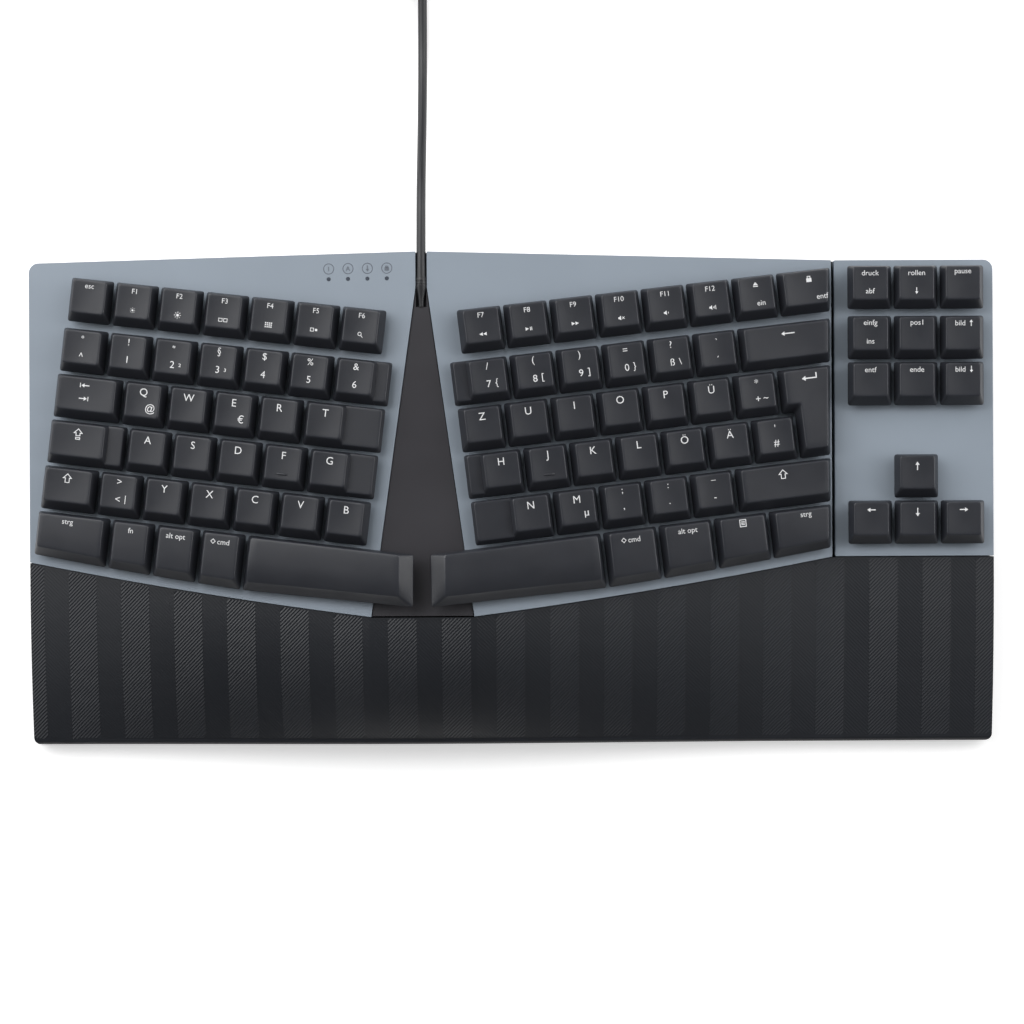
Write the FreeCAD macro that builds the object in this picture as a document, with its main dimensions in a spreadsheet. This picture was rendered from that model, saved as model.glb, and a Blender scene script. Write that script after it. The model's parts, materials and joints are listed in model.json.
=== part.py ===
"""A tented two-hand computer keyboard with a palm rest, a centre spine and a navigation block.

X runs along the keyboard's width to the right, Y to the rear and Z up, in millimetres.
The origin is the middle of the keyboard's footprint on the desk, without its cable.
"""

import FreeCAD
import Part
import math
import os

# Driving sizes: alias, value in millimetres or degrees, meaning
SIZES = (
    ("key_pitch", 19.05, "distance from key to key"),
    ("key_gap", 1.0, "gap between keycaps"),
    ("key_depth", 17.9, "depth of a keycap at its rim"),
    ("key_side_slope", 2.1, "how far a keycap's side leans in"),
    ("key_front_slope", 3.9, "how far a keycap's front leans in"),
    ("key_rear_slope", 0.6, "how far a keycap's rear leans in"),
    ("space_inner_slope", 5.6, "how far the space keys' inner ends lean in"),
    ("cap_height", 5.0, "height of a keycap"),
    ("cap_wall", 1.3, "wall of a keycap"),
    ("cap_edge", 0.8, "rounding of a keycap's edges"),
    ("step_height", 2.4, "height of a keycap's low side step"),
    ("key_travel", 3.0, "travel of a key"),
    ("travel_gap", 0.6, "rim of a pressed keycap above the deck"),
    ("function_gap", 1.7, "extra gap behind the number row"),
    ("row_angle", 6.75, "turn of the key rows on each tented deck"),
    ("tent_angle", 8.0, "slope of each tented deck"),
    ("upper_shift_left", 8.5, "start of the key Q from the key 1"),
    ("home_shift_left", 12.4, "start of the key A from the key 1"),
    ("lower_shift_left", 2.5, "start of the angle bracket key from the key 1"),
    ("bottom_shift_left", 9.5, "start of the fn key from the key 1"),
    ("upper_shift_right", 4.5, "end of the key Z before the key 8"),
    ("home_shift_right", 1.0, "start of the key J from the key 8"),
    ("lower_shift_right", 10.9, "start of the key M from the key 8"),
    ("bottom_shift_right", 29.6, "end of the right space key from the key 8"),
    ("bottom_pitch_right", 23.2, "distance between the wide keys at the bottom right"),
    ("outer_overhang", 1.0, "extra width of the outermost left keys"),
    ("outer_lean", 0.55, "growth of that width from row to row"),
    ("six_width", 22.85, "width of the key 6 with its step"),
    ("six_lean", 0.75, "its inner end's shift from row to row"),
    ("seven_width", 23.3, "width of the key 7 with its step"),
    ("seven_lean", 0.5, "its inner end's shift from row to row"),
    ("delete_reach", 23.1, "width of the delete key"),
    ("space_half_gap", 3.35, "half the gap between the space keys"),
    ("bottom_depth_outer", 17.4, "depth of the outermost key in the bottom row"),
    ("bottom_depth_inner", 21.2, "depth of the space keys at their inner end"),
    ("inner_margin", 11.1, "ridge to the nearest number key"),
    ("side_margin", 3.0, "left side to the nearest keycap"),
    ("end_margin", 1.0, "rows' right end to the seam"),
    ("seam_gap", 1.2, "width of the seam beside the navigation deck"),
    ("pad_inner_margin", 4.6, "seam to the navigation keys"),
    ("pad_outer_margin", 4.0, "navigation keys to the right side"),
    ("pad_shift", 0.8, "navigation rows behind the right half's rows"),
    ("rear_margin", 6.3, "escape key to the rear edge"),
    ("rear_crown", 2.4, "rear edge at the ridge behind the rear corners"),
    ("front_band", 4.1, "deck strip in front of the bottom row"),
    ("palm_bow", 1.3, "bow of the palm rest's rear edge"),
    ("palm_length", 76.2, "palm rest at the left side, front to rear"),
    ("palm_seat", 1.5, "palm rest's foot above the case floor"),
    ("palm_wall", 2.5, "wall of the palm rest"),
    ("palm_front_rise", 4.0, "front height of the palm rest above its foot at the sides"),
    ("palm_front_crown", 8.0, "extra front height at the ridge"),
    ("palm_front_radius", 2.4, "rounding of the palm rest's front edge"),
    ("palm_drop", 0.4, "palm rest surface below the deck surface"),
    ("front_corner_radius", 3.0, "front corners of the footprint"),
    ("rear_corner_radius", 4.0, "rear corners of the footprint"),
    ("deck_thickness", 2.0, "top wall of the decks"),
    ("deck_skirt", 7.0, "height of the decks' side walls"),
    ("case_wall", 2.0, "walls of the case and the decks"),
    ("case_floor", 2.0, "floor of the bottom case"),
    ("pad_height", 1.5, "rubber feet"),
    ("pad_radius", 7.0, "rubber feet"),
    ("pad_inset", 15.0, "rubber feet from the sides"),
    ("shell_gap", 0.3, "gap between neighbouring shells"),
    ("spine_tip_inset", 14.6, "rear edge to the spine's tip"),
    ("spine_front_half", 21.0, "half width of the spine at the palm rest"),
    ("spine_drop", 0.6, "spine surface below the deck surface"),
    ("spine_thickness", 3.0, "thickness of the spine"),
    ("slot_half", 2.3, "half width of the cable slot"),
    ("switch_side", 13.8, "side of a switch housing"),
    ("switch_flange", 14.6, "side of the flange of a switch housing"),
    ("switch_flange_height", 0.45, "thickness of that flange"),
    ("switch_depth", 5.0, "depth of a switch housing below the deck surface"),
    ("switch_top_side", 11.4, "side of a housing's upper part"),
    ("switch_top", 2.4, "height of a housing above the deck surface"),
    ("cutout_gap", 0.1, "gap around a housing in its cutout"),
    ("slider_side", 4.6, "side of a switch's slider"),
    ("slider_gap", 0.3, "gap around and below a pressed slider"),
    ("slider_grip", 0.9, "slider below the deck surface at rest"),
    ("stabiliser_span", 24.0, "distance between the stabiliser sockets"),
    ("stabiliser_side", 5.6, "side of a stabiliser socket"),
    ("stabiliser_post", 2.4, "side of a stabiliser post"),
    ("stack_gap", 2.1, "circuit boards above the tilt foot wells"),
    ("board_thickness", 1.6, "circuit boards"),
    ("board_margin", 3.2, "deck's edge to the edge of its circuit board"),
    ("chip_side", 9.0, "controller chip"),
    ("chip_height", 1.2, "controller chip"),
    ("pipe_radius", 0.8, "indicator light pipes"),
    ("pipe_pitch", 7.95, "distance from one light pipe to the next"),
    ("pipe_inset_x", 25.9, "ridge to the middle of the light pipes"),
    ("pipe_inset_y", 8.4, "rear edge to the light pipes"),
    ("screw_radius", 1.2, "case screws"),
    ("screw_head_radius", 2.4, "heads of the case screws"),
    ("screw_head_height", 1.4, "heads of the case screws"),
    ("screw_gap", 0.05, "gap around a screw in its bore"),
    ("screw_bite", 3.5, "screw tip inside its post"),
    ("boss_radius", 3.0, "screw bosses in the case and posts on the covers"),
    ("post_length", 5.0, "posts below the covers"),
    ("boss_inset", 6.2, "screw bosses from the footprint's edge"),
    ("foot_width", 42.0, "tilt feet"),
    ("foot_length", 22.0, "tilt feet from pin to tip"),
    ("foot_thickness", 3.6, "tilt feet"),
    ("foot_inset_x", 52.0, "side to the middle of a tilt foot"),
    ("foot_inset_y", 7.6, "rear edge to the tilt foot pins"),
    ("foot_pin_radius", 1.0, "tilt foot pins"),
    ("foot_pin_grip", 1.5, "tilt foot pins inside the well's wall"),
    ("foot_bore_gap", 0.05, "gap around a pin in its foot"),
    ("foot_gap", 0.4, "gap around a folded foot in its well"),
    ("cable_diameter", 3.8, "cable"),
    ("cable_rise", 0.7, "top of the cable above the ridge in its slot"),
    ("relief_length", 12.0, "strain relief"),
    ("relief_radius", 2.15, "strain relief at its thick end"),
    ("relief_reach", 4.0, "strain relief behind the spine's tip"),
    ("coil_pitch", 4.42, "distance between neighbouring turns"),
    ("coil_radius", 22.4, "coil radius at mid-turns"),
    ("coil_distance", 146.0, "rear edge to the middle of the coil"),
    ("tie_width", 9.0, "cable tie"),
    ("tie_thickness", 0.8, "cable tie"),
    ("tie_gap", 0.3, "gap between tie and cable"),
    ("plug_grip_width", 15.6, "plug grip"),
    ("plug_grip_height", 8.0, "plug grip"),
    ("plug_grip_length", 24.0, "plug grip"),
    ("plug_grip_rounding", 2.0, "rounded edges of the plug grip"),
    ("plug_shell_width", 12.0, "plug shell"),
    ("plug_shell_height", 4.5, "plug shell"),
    ("plug_shell_length", 12.5, "plug shell"),
    ("plug_shell_wall", 0.35, "plug shell"),
    ("plug_tongue_height", 1.8, "plastic tongue in the plug shell"),
)

# Rows from the rear to the front, counted from the number row
FUNCTION, NUMBER, UPPER, HOME, LOWER, BOTTOM = range(-1, 5)

doc = FreeCAD.newDocument("Keyboard")
sheet = doc.addObject("Spreadsheet::Sheet", "Sizes")
for line, (alias, value, meaning) in enumerate(SIZES, start=1):
    sheet.set(f"A{line}", meaning)
    sheet.set(f"B{line}", str(value))
    sheet.setAlias(f"B{line}", alias)
doc.recompute()

finished = []


def size(alias):
    """Returns one driving size."""
    return float(sheet.get(alias))


def vector(x, y, z=0.0):
    """Returns a point or a direction."""
    return FreeCAD.Vector(x, y, z)


def bind(item, **expressions):
    """Ties properties of a document object to expressions of the sheet's cells."""
    for name, text in expressions.items():
        item.setExpression(name, text)
    return item


def place(item, x, y, z, rotation=None):
    """Puts a document object at a place, turned where a rotation is given."""
    item.Placement = FreeCAD.Placement(vector(x, y, z), rotation or FreeCAD.Rotation())
    return item


def feature(name, shape):
    """Makes a document object from a shape."""
    item = doc.addObject("Part::Feature", name)
    item.Shape = shape
    return item


def cut(name, base, tool):
    """Makes one document object out of another less a third."""
    item = doc.addObject("Part::Cut", name)
    item.Base = base
    item.Tool = tool
    return item


def group(name, items):
    """Makes a compound of separate solids."""
    item = doc.addObject("Part::Compound", name)
    item.Links = items
    return item


def keep(item, label):
    """Gives a finished sub-part its label and puts it on the list of nodes."""
    item.Label = label
    finished.append(item)
    return item


def fused(shapes):
    """Joins overlapping shapes into one."""
    return shapes[0].multiFuse(shapes[1:]) if len(shapes) > 1 else shapes[0]


# Layout of the key fields, first with the ridge at x 0 and the number rows meeting at y 0

TENT = math.radians(size("tent_angle"))
TURN = math.radians(size("row_angle"))
SLOPE = math.tan(TENT)
PITCH = size("key_pitch")
GAP = size("key_gap")


def row_rear(row):
    """Returns the rear edge of a row of keys in its field."""
    if row == FUNCTION:
        return PITCH + size("function_gap")
    return -PITCH * row


def outer_end(row):
    """Returns the outer end of a row on the left half."""
    return -(PITCH + size("outer_overhang") + size("outer_lean") * row)


def six_end(row):
    """Returns the inner end of a row on the left half."""
    return 5 * PITCH + size("six_width") - size("six_lean") * row


def seven_end(row):
    """Returns the inner end of a row on the right half."""
    return size("seven_lean") * row - size("seven_width") - GAP


def flat_place(corner, side, u, v):
    """Returns the plan x and y of a place in a tented key field."""
    across = u * math.cos(TURN) - side * v * math.sin(TURN)
    return (
        corner[0] + across * math.cos(TENT),
        corner[1] + side * u * math.sin(TURN) + v * math.cos(TURN),
    )


def corner_beside(reach):
    """Returns the plan distances of a field's corner from the ridge, from its row's inner reach."""
    x = size("inner_margin") + reach * math.cos(TURN) * math.cos(TENT)
    return x, x / math.cos(TENT) * math.tan(TURN)


left_x, left_y = corner_beside(six_end(NUMBER))
LEFT_CORNER = (-left_x, left_y)
RIGHT_CORNER = corner_beside(-seven_end(NUMBER))
front_row = row_rear(BOTTOM) - size("bottom_depth_outer")
far_left = flat_place(LEFT_CORNER, -1, outer_end(BOTTOM), front_row)
left_side = far_left[0] - size("side_margin")
rows_end = flat_place(RIGHT_CORNER, 1, 6 * PITCH, row_rear(FUNCTION))[0] + size("delete_reach")
seam = rows_end + size("end_margin") + size("seam_gap") / 2
pad_middle = seam + size("seam_gap") / 2 + size("pad_inner_margin") + 1.5 * PITCH
right_side = pad_middle + 1.5 * PITCH + size("pad_outer_margin")
rear_side = flat_place(LEFT_CORNER, -1, -PITCH, row_rear(FUNCTION))[1] + size("rear_margin")
front_side = far_left[1] - size("front_band") - size("palm_length")

# The same layout with the middle of the footprint at x 0 and y 0

HALF_WIDTH = (right_side - left_side) / 2
RIDGE = -(right_side + left_side) / 2
SHIFT_Y = -(rear_side + size("rear_crown") + front_side) / 2
SEAM = seam + RIDGE
ROWS_END = rows_end + RIDGE
PAD_MIDDLE = pad_middle + RIDGE
REAR = rear_side + SHIFT_Y
FRONT = front_side + SHIFT_Y
SPINE_TIP = REAR + size("rear_crown") - size("spine_tip_inset")

# Heights, from the desk up to the decks

CASE_BOTTOM = size("pad_height")
FLOOR_TOP = CASE_BOTTOM + size("case_floor")
PIN_HEIGHT = CASE_BOTTOM + size("foot_gap") + size("foot_thickness") / 2
WELL_TOP = PIN_HEIGHT + size("foot_thickness") / 2 + size("foot_gap")
BOARD_BOTTOM = WELL_TOP + size("case_wall") + size("stack_gap")
LEVEL_HEIGHT = BOARD_BOTTOM + size("board_thickness") + size("switch_depth")
RIDGE_HEIGHT = LEVEL_HEIGHT + SLOPE * (SEAM - RIDGE)
PALM_FOOT = FLOOR_TOP + size("palm_seat")
CAP_LIFT = size("key_travel") + size("travel_gap")
ABOVE = RIDGE_HEIGHT + 20


def deck_height(x):
    """Returns the height of the deck surface at a place across the width."""
    if x > SEAM:
        return LEVEL_HEIGHT
    return RIDGE_HEIGHT - SLOPE * abs(x - RIDGE)


def field_frame(x, y, side):
    """Returns the placement of a key field: side is -1 on the left, 1 on the right, 0 when level."""
    turn = FreeCAD.Rotation(vector(0, 0, 1), side * size("row_angle"))
    tilt = FreeCAD.Rotation(vector(0, 1, 0), side * size("tent_angle"))
    return FreeCAD.Placement(vector(x, y, deck_height(x)), tilt.multiply(turn))


pad_corner_y = RIGHT_CORNER[1] + (rows_end - RIGHT_CORNER[0]) / math.cos(TENT) * math.tan(TURN)
FRAMES = {
    "left": field_frame(LEFT_CORNER[0] + RIDGE, LEFT_CORNER[1] + SHIFT_Y, -1),
    "right": field_frame(RIGHT_CORNER[0] + RIDGE, RIGHT_CORNER[1] + SHIFT_Y, 1),
    "pad": field_frame(PAD_MIDDLE, pad_corner_y + SHIFT_Y + size("pad_shift"), 0),
}


def in_body(field, shape):
    """Returns a copy of a shape carried from a key field to the body's frame."""
    moved = shape.copy()
    moved.Placement = FRAMES[field].multiply(moved.Placement)
    return moved


def along_row(field, x, v):
    """Returns the place along a row where the rim of a cap reaches an x of the body."""
    here = FRAMES[field].multVec(vector(0, v, CAP_LIFT))
    step = FRAMES[field].multVec(vector(1, v, CAP_LIFT)) - here
    return (x - here.x) / step.x


# Line between the decks and the palm rest


def arc_through(first, middle, last):
    """Returns the function y(x) of the circle through three points of the plan."""
    (ax, ay), (bx, by), (cx, cy) = first, middle, last
    twice = 2 * (ax * (by - cy) + bx * (cy - ay) + cx * (ay - by))
    a2, b2, c2 = ax * ax + ay * ay, bx * bx + by * by, cx * cx + cy * cy
    ux = (a2 * (by - cy) + b2 * (cy - ay) + c2 * (ay - by)) / twice
    uy = (a2 * (cx - bx) + b2 * (ax - cx) + c2 * (bx - ax)) / twice
    radius = math.hypot(ax - ux, ay - uy)
    side = 1.0 if by > uy else -1.0
    return lambda x: uy + side * math.sqrt(radius * radius - (x - ux) ** 2)


def row_front(field, x, depth):
    """Returns the y of the deck's front edge at an x, from the depth of the bottom row there."""
    v = row_rear(BOTTOM) - depth
    at = FRAMES[field].multVec(vector(along_row(field, x, v), v, 0))
    return at.y - size("front_band")


PALM_LEFT = RIDGE - size("spine_front_half")
PALM_RIGHT = RIDGE + size("spine_front_half")
SPACE_END_LEFT = RIDGE - size("space_half_gap")
SPACE_END_RIGHT = RIDGE + size("space_half_gap")
outer_left = row_front("left", -HALF_WIDTH + size("side_margin"), size("bottom_depth_outer"))
outer_right = row_front("right", ROWS_END, size("bottom_depth_outer"))
inner_left = row_front("left", SPACE_END_LEFT, size("bottom_depth_inner"))
inner_right = row_front("right", SPACE_END_RIGHT, size("bottom_depth_inner"))
PALM_INNER = (inner_left + inner_right) / 2


def bowed(first, last):
    """Returns two points of the plan with the bowed point between them."""
    middle = ((first[0] + last[0]) / 2, (first[1] + last[1]) / 2 - size("palm_bow"))
    return first, middle, last


LEFT_CURVE = bowed((-HALF_WIDTH, outer_left), (PALM_LEFT, PALM_INNER))
RIGHT_CURVE = bowed((PALM_RIGHT, PALM_INNER), (SEAM, outer_right))
left_front = arc_through(*LEFT_CURVE)
right_front = arc_through(*RIGHT_CURVE)


def palm_line(x):
    """Returns the front edge of the decks, which the palm rest follows."""
    if x < PALM_LEFT:
        return left_front(max(x, -HALF_WIDTH))
    if x <= PALM_RIGHT:
        return PALM_INNER
    if x < SEAM:
        return right_front(x)
    return outer_right


def between(first, last, count):
    """Returns evenly spaced places, with both ends."""
    return [first + (last - first) * i / count for i in range(count + 1)]


STATIONS = (
    between(-HALF_WIDTH, PALM_LEFT, 5)
    + [RIDGE]
    + between(PALM_RIGHT, SEAM, 5)
    + between(SEAM, HALF_WIDTH, 2)[1:]
)


def front_of(field, u):
    """Returns where a bottom-row cap ends, so that the deck's front strip stays even."""
    v = row_rear(BOTTOM) - size("key_depth")
    for _ in range(6):
        here = FRAMES[field].multVec(vector(u, v, 0))
        v += palm_line(here.x) + size("front_band") - here.y
    return v


# Keys


class Key:
    """One keycap: the outline of its rim in its field, the node it belongs to and its switch."""

    def __init__(self, field, node, row, start, end, step=None, low_start=None, long=False):
        """Takes the rim's start and end along the row, each a number or the word row or space."""
        self.field = field
        self.node = node
        self.long = long
        self.step = step
        self.low_start = low_start
        rear = row_rear(row)
        front = rear - size("key_depth")
        starts = self.ends(start, rear, front)
        stops = self.ends(end, rear, front)
        fronts = (front, front)
        if row == BOTTOM and field != "pad":
            fronts = (front_of(field, starts[1]), front_of(field, stops[1]))
        self.rim = [
            (starts[1], fronts[0]),
            (stops[1], fronts[1]),
            (stops[0], rear),
            (starts[0], rear),
        ]
        self.main = self.rim
        if step:
            low, high = step
            self.main = [(low, front), (high, front), (high, rear), (low, rear)]
        side = size("key_side_slope")
        self.slopes = [size("key_front_slope"), side, size("key_rear_slope"), side]
        if end == "space":
            self.slopes[1] = size("space_inner_slope")
        if start == "space":
            self.slopes[3] = size("space_inner_slope")
        self.middle = [sum(corner[i] for corner in self.main) / 4 for i in (0, 1)]

    def ends(self, end, rear, front):
        """Returns an end's places at the rear and the front of the row."""
        if end == "row":
            x = ROWS_END
        elif end == "space":
            x = SPACE_END_LEFT if self.field == "left" else SPACE_END_RIGHT
        else:
            return end, end
        return along_row(self.field, x, rear), along_row(self.field, x, front)

    def posts(self):
        """Returns the middle and the side of the slider and of any stabiliser posts."""
        u, v = self.middle
        found = [(u, v, size("slider_side"))]
        if self.long:
            half = size("stabiliser_span") / 2
            found += [(u - half, v, size("stabiliser_post"))]
            found += [(u + half, v, size("stabiliser_post"))]
        return found


def run(field, nodes, row, start, count):
    """Returns whole keys side by side; nodes is one node's name or a name for each."""
    names = [nodes] * count if isinstance(nodes, str) else nodes
    return [
        Key(field, names[i], row, start + i * PITCH, start + (i + 1) * PITCH - GAP)
        for i in range(count)
    ]


def left_keys():
    """Returns the keys of the left half."""
    upper, home = size("upper_shift_left"), size("home_shift_left")
    lower, bottom = size("lower_shift_left"), size("bottom_shift_left")

    def stepped(node, row, start):
        return Key("left", node, row, start, six_end(row), step=(start, start + PITCH - GAP))

    keys = [Key("left", "key_escape", FUNCTION, -PITCH, -GAP)]
    keys += run("left", "keys_function_left", FUNCTION, 0, 6)
    keys += [Key("left", "keys_number_left", NUMBER, outer_end(NUMBER), -GAP)]
    keys += run("left", "keys_number_left", NUMBER, 0, 5)
    keys += [stepped("keys_number_left", NUMBER, 5 * PITCH)]
    keys += [Key("left", "key_tab", UPPER, outer_end(UPPER), upper - GAP)]
    keys += run("left", "keys_upper_left", UPPER, upper, 4)
    keys += [stepped("keys_upper_left", UPPER, upper + 4 * PITCH)]
    caps = (outer_end(HOME), home - GAP - PITCH / 3)
    keys += [Key("left", "key_caps_lock", HOME, caps[0], home - GAP, step=caps)]
    keys += run("left", "keys_home_left", HOME, home, 4)
    keys += [stepped("keys_home_left", HOME, home + 4 * PITCH)]
    keys += [Key("left", "key_shift_left", LOWER, outer_end(LOWER), lower - GAP)]
    keys += run("left", "keys_lower_left", LOWER, lower, 6)
    keys += [Key("left", "key_control_left", BOTTOM, outer_end(BOTTOM), bottom - GAP)]
    names = ("key_fn", "key_option_left", "key_command_left")
    keys += run("left", names, BOTTOM, bottom, 3)
    space = bottom + 3 * PITCH
    keys += [Key("left", "key_space_left", BOTTOM, space, "space", long=True)]
    return keys


def right_keys():
    """Returns the keys of the right half."""
    upper, home = -size("upper_shift_right") - PITCH, size("home_shift_right")
    lower, bottom = size("lower_shift_right"), size("bottom_shift_right")
    wide = size("bottom_pitch_right")

    def stepped(node, row, end):
        return Key("right", node, row, seven_end(row), end, step=(end - PITCH + GAP, end))

    keys = run("right", "keys_function_right", FUNCTION, -PITCH, 7)
    keys += [Key("right", "key_delete", FUNCTION, 6 * PITCH, "row")]
    keys += [stepped("keys_number_right", NUMBER, -GAP)]
    keys += run("right", "keys_number_right", NUMBER, 0, 5)
    keys += [Key("right", "key_backspace", NUMBER, 5 * PITCH, "row", long=True)]
    keys += run("right", "keys_upper_right", UPPER, upper, 7)
    enter = (upper + 7 * PITCH, home + 6 * PITCH)
    keys += [Key("right", "key_enter", UPPER, enter[0], "row", low_start=enter[1])]
    keys += [stepped("keys_home_right", HOME, home - GAP)]
    keys += run("right", "keys_home_right", HOME, home, 6)
    keys += [stepped("keys_lower_right", LOWER, lower - GAP)]
    keys += run("right", "keys_lower_right", LOWER, lower, 4)
    keys += [Key("right", "key_shift_right", LOWER, lower + 4 * PITCH, "row", long=True)]
    keys += [Key("right", "key_space_right", BOTTOM, "space", bottom - GAP, long=True)]
    for i, node in enumerate(("key_command_right", "key_option_right", "key_menu")):
        start = bottom + i * wide
        keys += [Key("right", node, BOTTOM, start, start + wide - GAP)]
    keys += [Key("right", "key_control_right", BOTTOM, bottom + 3 * wide, "row")]
    return keys


def pad_keys():
    """Returns the keys of the navigation block."""
    start = -1.5 * PITCH + GAP / 2
    keys = []
    for row, node in ((FUNCTION, "rear"), (NUMBER, "middle"), (UPPER, "front")):
        keys += run("pad", f"keys_navigation_{node}", row, start, 3)
    keys += run("pad", "key_arrow_up", LOWER, start + PITCH, 1)
    names = ("key_arrow_left", "key_arrow_down", "key_arrow_right")
    keys += run("pad", names, BOTTOM, start, 3)
    return keys


KEYS = left_keys() + right_keys() + pad_keys()


# Keycaps


def offset_quad(corners, distances):
    """Moves the four sides of a quad inwards; both lists run front, right, rear, left."""
    lines = []
    for i, distance in enumerate(distances):
        (ax, ay), (bx, by) = corners[i], corners[(i + 1) % 4]
        length = math.hypot(bx - ax, by - ay)
        nx, ny = -(by - ay) / length, (bx - ax) / length
        lines.append((ax + nx * distance, ay + ny * distance, bx - ax, by - ay))
    moved = []
    for i in range(4):
        px, py, pdx, pdy = lines[i - 1]
        qx, qy, qdx, qdy = lines[i]
        share = ((qx - px) * qdy - (qy - py) * qdx) / (pdx * qdy - pdy * qdx)
        moved.append((px + pdx * share, py + pdy * share))
    return moved


def frustum(base, top, low, high):
    """Makes a solid between two flat outlines with parallel sides."""
    lower = [vector(u, v, low) for u, v in base]
    upper = [vector(u, v, high) for u, v in top]
    rings = [lower[::-1], upper]
    for i in range(len(base)):
        j = (i + 1) % len(base)
        rings.append([lower[i], lower[j], upper[j], upper[i]])
    faces = [Part.Face(Part.makePolygon(ring + ring[:1])) for ring in rings]
    return Part.Solid(Part.Shell(faces))


def leaning(slopes, height, wall=0.0):
    """Returns how far inside its rim a cap's sides are at a height: front, right, rear, left."""
    return [wall + slope * height / size("cap_height") for slope in slopes]


def cap_form(rim, height, slopes):
    """Makes the outer form of a keycap over a rim."""
    crown = offset_quad(rim, leaning(slopes, height))
    return frustum(rim, crown, CAP_LIFT, CAP_LIFT + height)


def cap_hollow(rim, height, slopes):
    """Makes the hollow of a keycap, which starts one wall below its rim."""
    wall = size("cap_wall")
    base = offset_quad(rim, leaning(slopes, -wall, wall))
    top = offset_quad(rim, leaning(slopes, height - wall, wall))
    return frustum(base, top, CAP_LIFT - wall, CAP_LIFT + height - wall)


def end_heights(edge):
    """Returns the heights of an edge's two end points."""
    return edge.valueAt(edge.FirstParameter).z, edge.valueAt(edge.LastParameter).z


def rounded_cap(form):
    """Rounds a keycap's upright edges and the edges of its top."""
    low = form.BoundBox.ZMin + size("cap_edge") / 2
    return form.makeFillet(size("cap_edge"), [e for e in form.Edges if max(end_heights(e)) > low])


def enter_rims(key):
    """Returns the enter key's two overlapping rims: across its upper row and down its narrow side."""
    low = row_rear(HOME) - size("key_depth")
    row_end = along_row("right", ROWS_END, low)
    rear = key.rim[2]
    narrow = [(key.low_start, low), (row_end, low), rear, (key.low_start, rear[1])]
    return key.rim, narrow


def keycap(key):
    """Makes the hollow cap of one key in its field."""
    height = size("cap_height")
    forms = [(key.main, height)]
    if key.low_start is not None:
        forms = [(rim, height) for rim in enter_rims(key)]
    if key.step:
        forms.append((key.rim, size("step_height")))
    solid = rounded_cap(cap_form(*forms[0], key.slopes))
    for rim, tall in forms[1:]:
        other = cap_form(rim, tall, key.slopes)
        solid = solid.fuse(rounded_cap(other) if tall == height else other)
    for rim, tall in forms:
        solid = solid.cut(cap_hollow(rim, tall, key.slopes))
    return solid.Solids[0]


def block(side, low, high, u, v):
    """Makes an upright square block around a place of a key field."""
    return Part.makeBox(side, side, high - low, vector(u - side / 2, v - side / 2, low))


def key_solids(key):
    """Returns the cap of one key with its slider and its posts, in the body's frame."""
    roof = CAP_LIFT + size("cap_height") - size("cap_wall")
    solids = [keycap(key)]
    for u, v, side in key.posts():
        solids.append(block(side, -size("slider_grip"), roof, u, v))
    return [in_body(key.field, solid) for solid in solids]


for node in dict.fromkeys(key.node for key in KEYS):
    solids = [solid for key in KEYS if key.node == node for solid in key_solids(key)]
    keep(feature(f"cap_group_{node}", Part.makeCompound(solids)), node)


# Switch housings and stabiliser sockets

WELL_FLOOR = -(size("slider_grip") + size("key_travel") + size("slider_gap"))


def switch_housing():
    """Makes one switch housing around the origin of a key field."""
    gap = size("slider_gap")
    lower = block(size("switch_side"), -size("switch_depth"), 0, 0, 0)
    flange = block(size("switch_flange"), 0, size("switch_flange_height"), 0, 0)
    upper = block(size("switch_top_side"), 0, size("switch_top"), 0, 0)
    well = block(size("slider_side") + 2 * gap, WELL_FLOOR, size("switch_top") + 1, 0, 0)
    return fused([lower, flange, upper]).removeSplitter().cut(well)


def stabiliser_socket():
    """Makes one stabiliser socket around the origin of a key field."""
    gap = size("slider_gap")
    body = block(size("stabiliser_side"), WELL_FLOOR - gap, size("switch_top") / 2, 0, 0)
    well = block(size("stabiliser_post") + 2 * gap, WELL_FLOOR, size("switch_top"), 0, 0)
    return body.cut(well)


housing = switch_housing()
socket = stabiliser_socket()


def sockets_in(field):
    """Returns the switch housings and stabiliser sockets of a key field."""
    found = []
    for key in KEYS:
        if key.field != field:
            continue
        for i, (u, v, _) in enumerate(key.posts()):
            piece = (socket if i else housing).copy()
            piece.translate(vector(u, v))
            found.append(in_body(field, piece))
    return found


def cutouts_in(field):
    """Returns the openings of a deck that its housings and sockets fill."""
    gap = 2 * size("cutout_gap")
    sides = (size("switch_side") + gap, size("stabiliser_side") + gap)
    found = []
    for key in KEYS:
        if key.field != field:
            continue
        for i, (u, v, _) in enumerate(key.posts()):
            opening = block(sides[min(i, 1)], -2 * size("deck_thickness"), 1, u, v)
            found.append(in_body(field, opening))
    return Part.makeCompound(found)


for field, node in (("left", "left"), ("right", "right"), ("pad", "navigation")):
    housings = Part.makeCompound(sockets_in(field))
    keep(feature(f"{node}_housings", housings), f"{node}_switches")


# Outlines of the shells in plan


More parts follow.
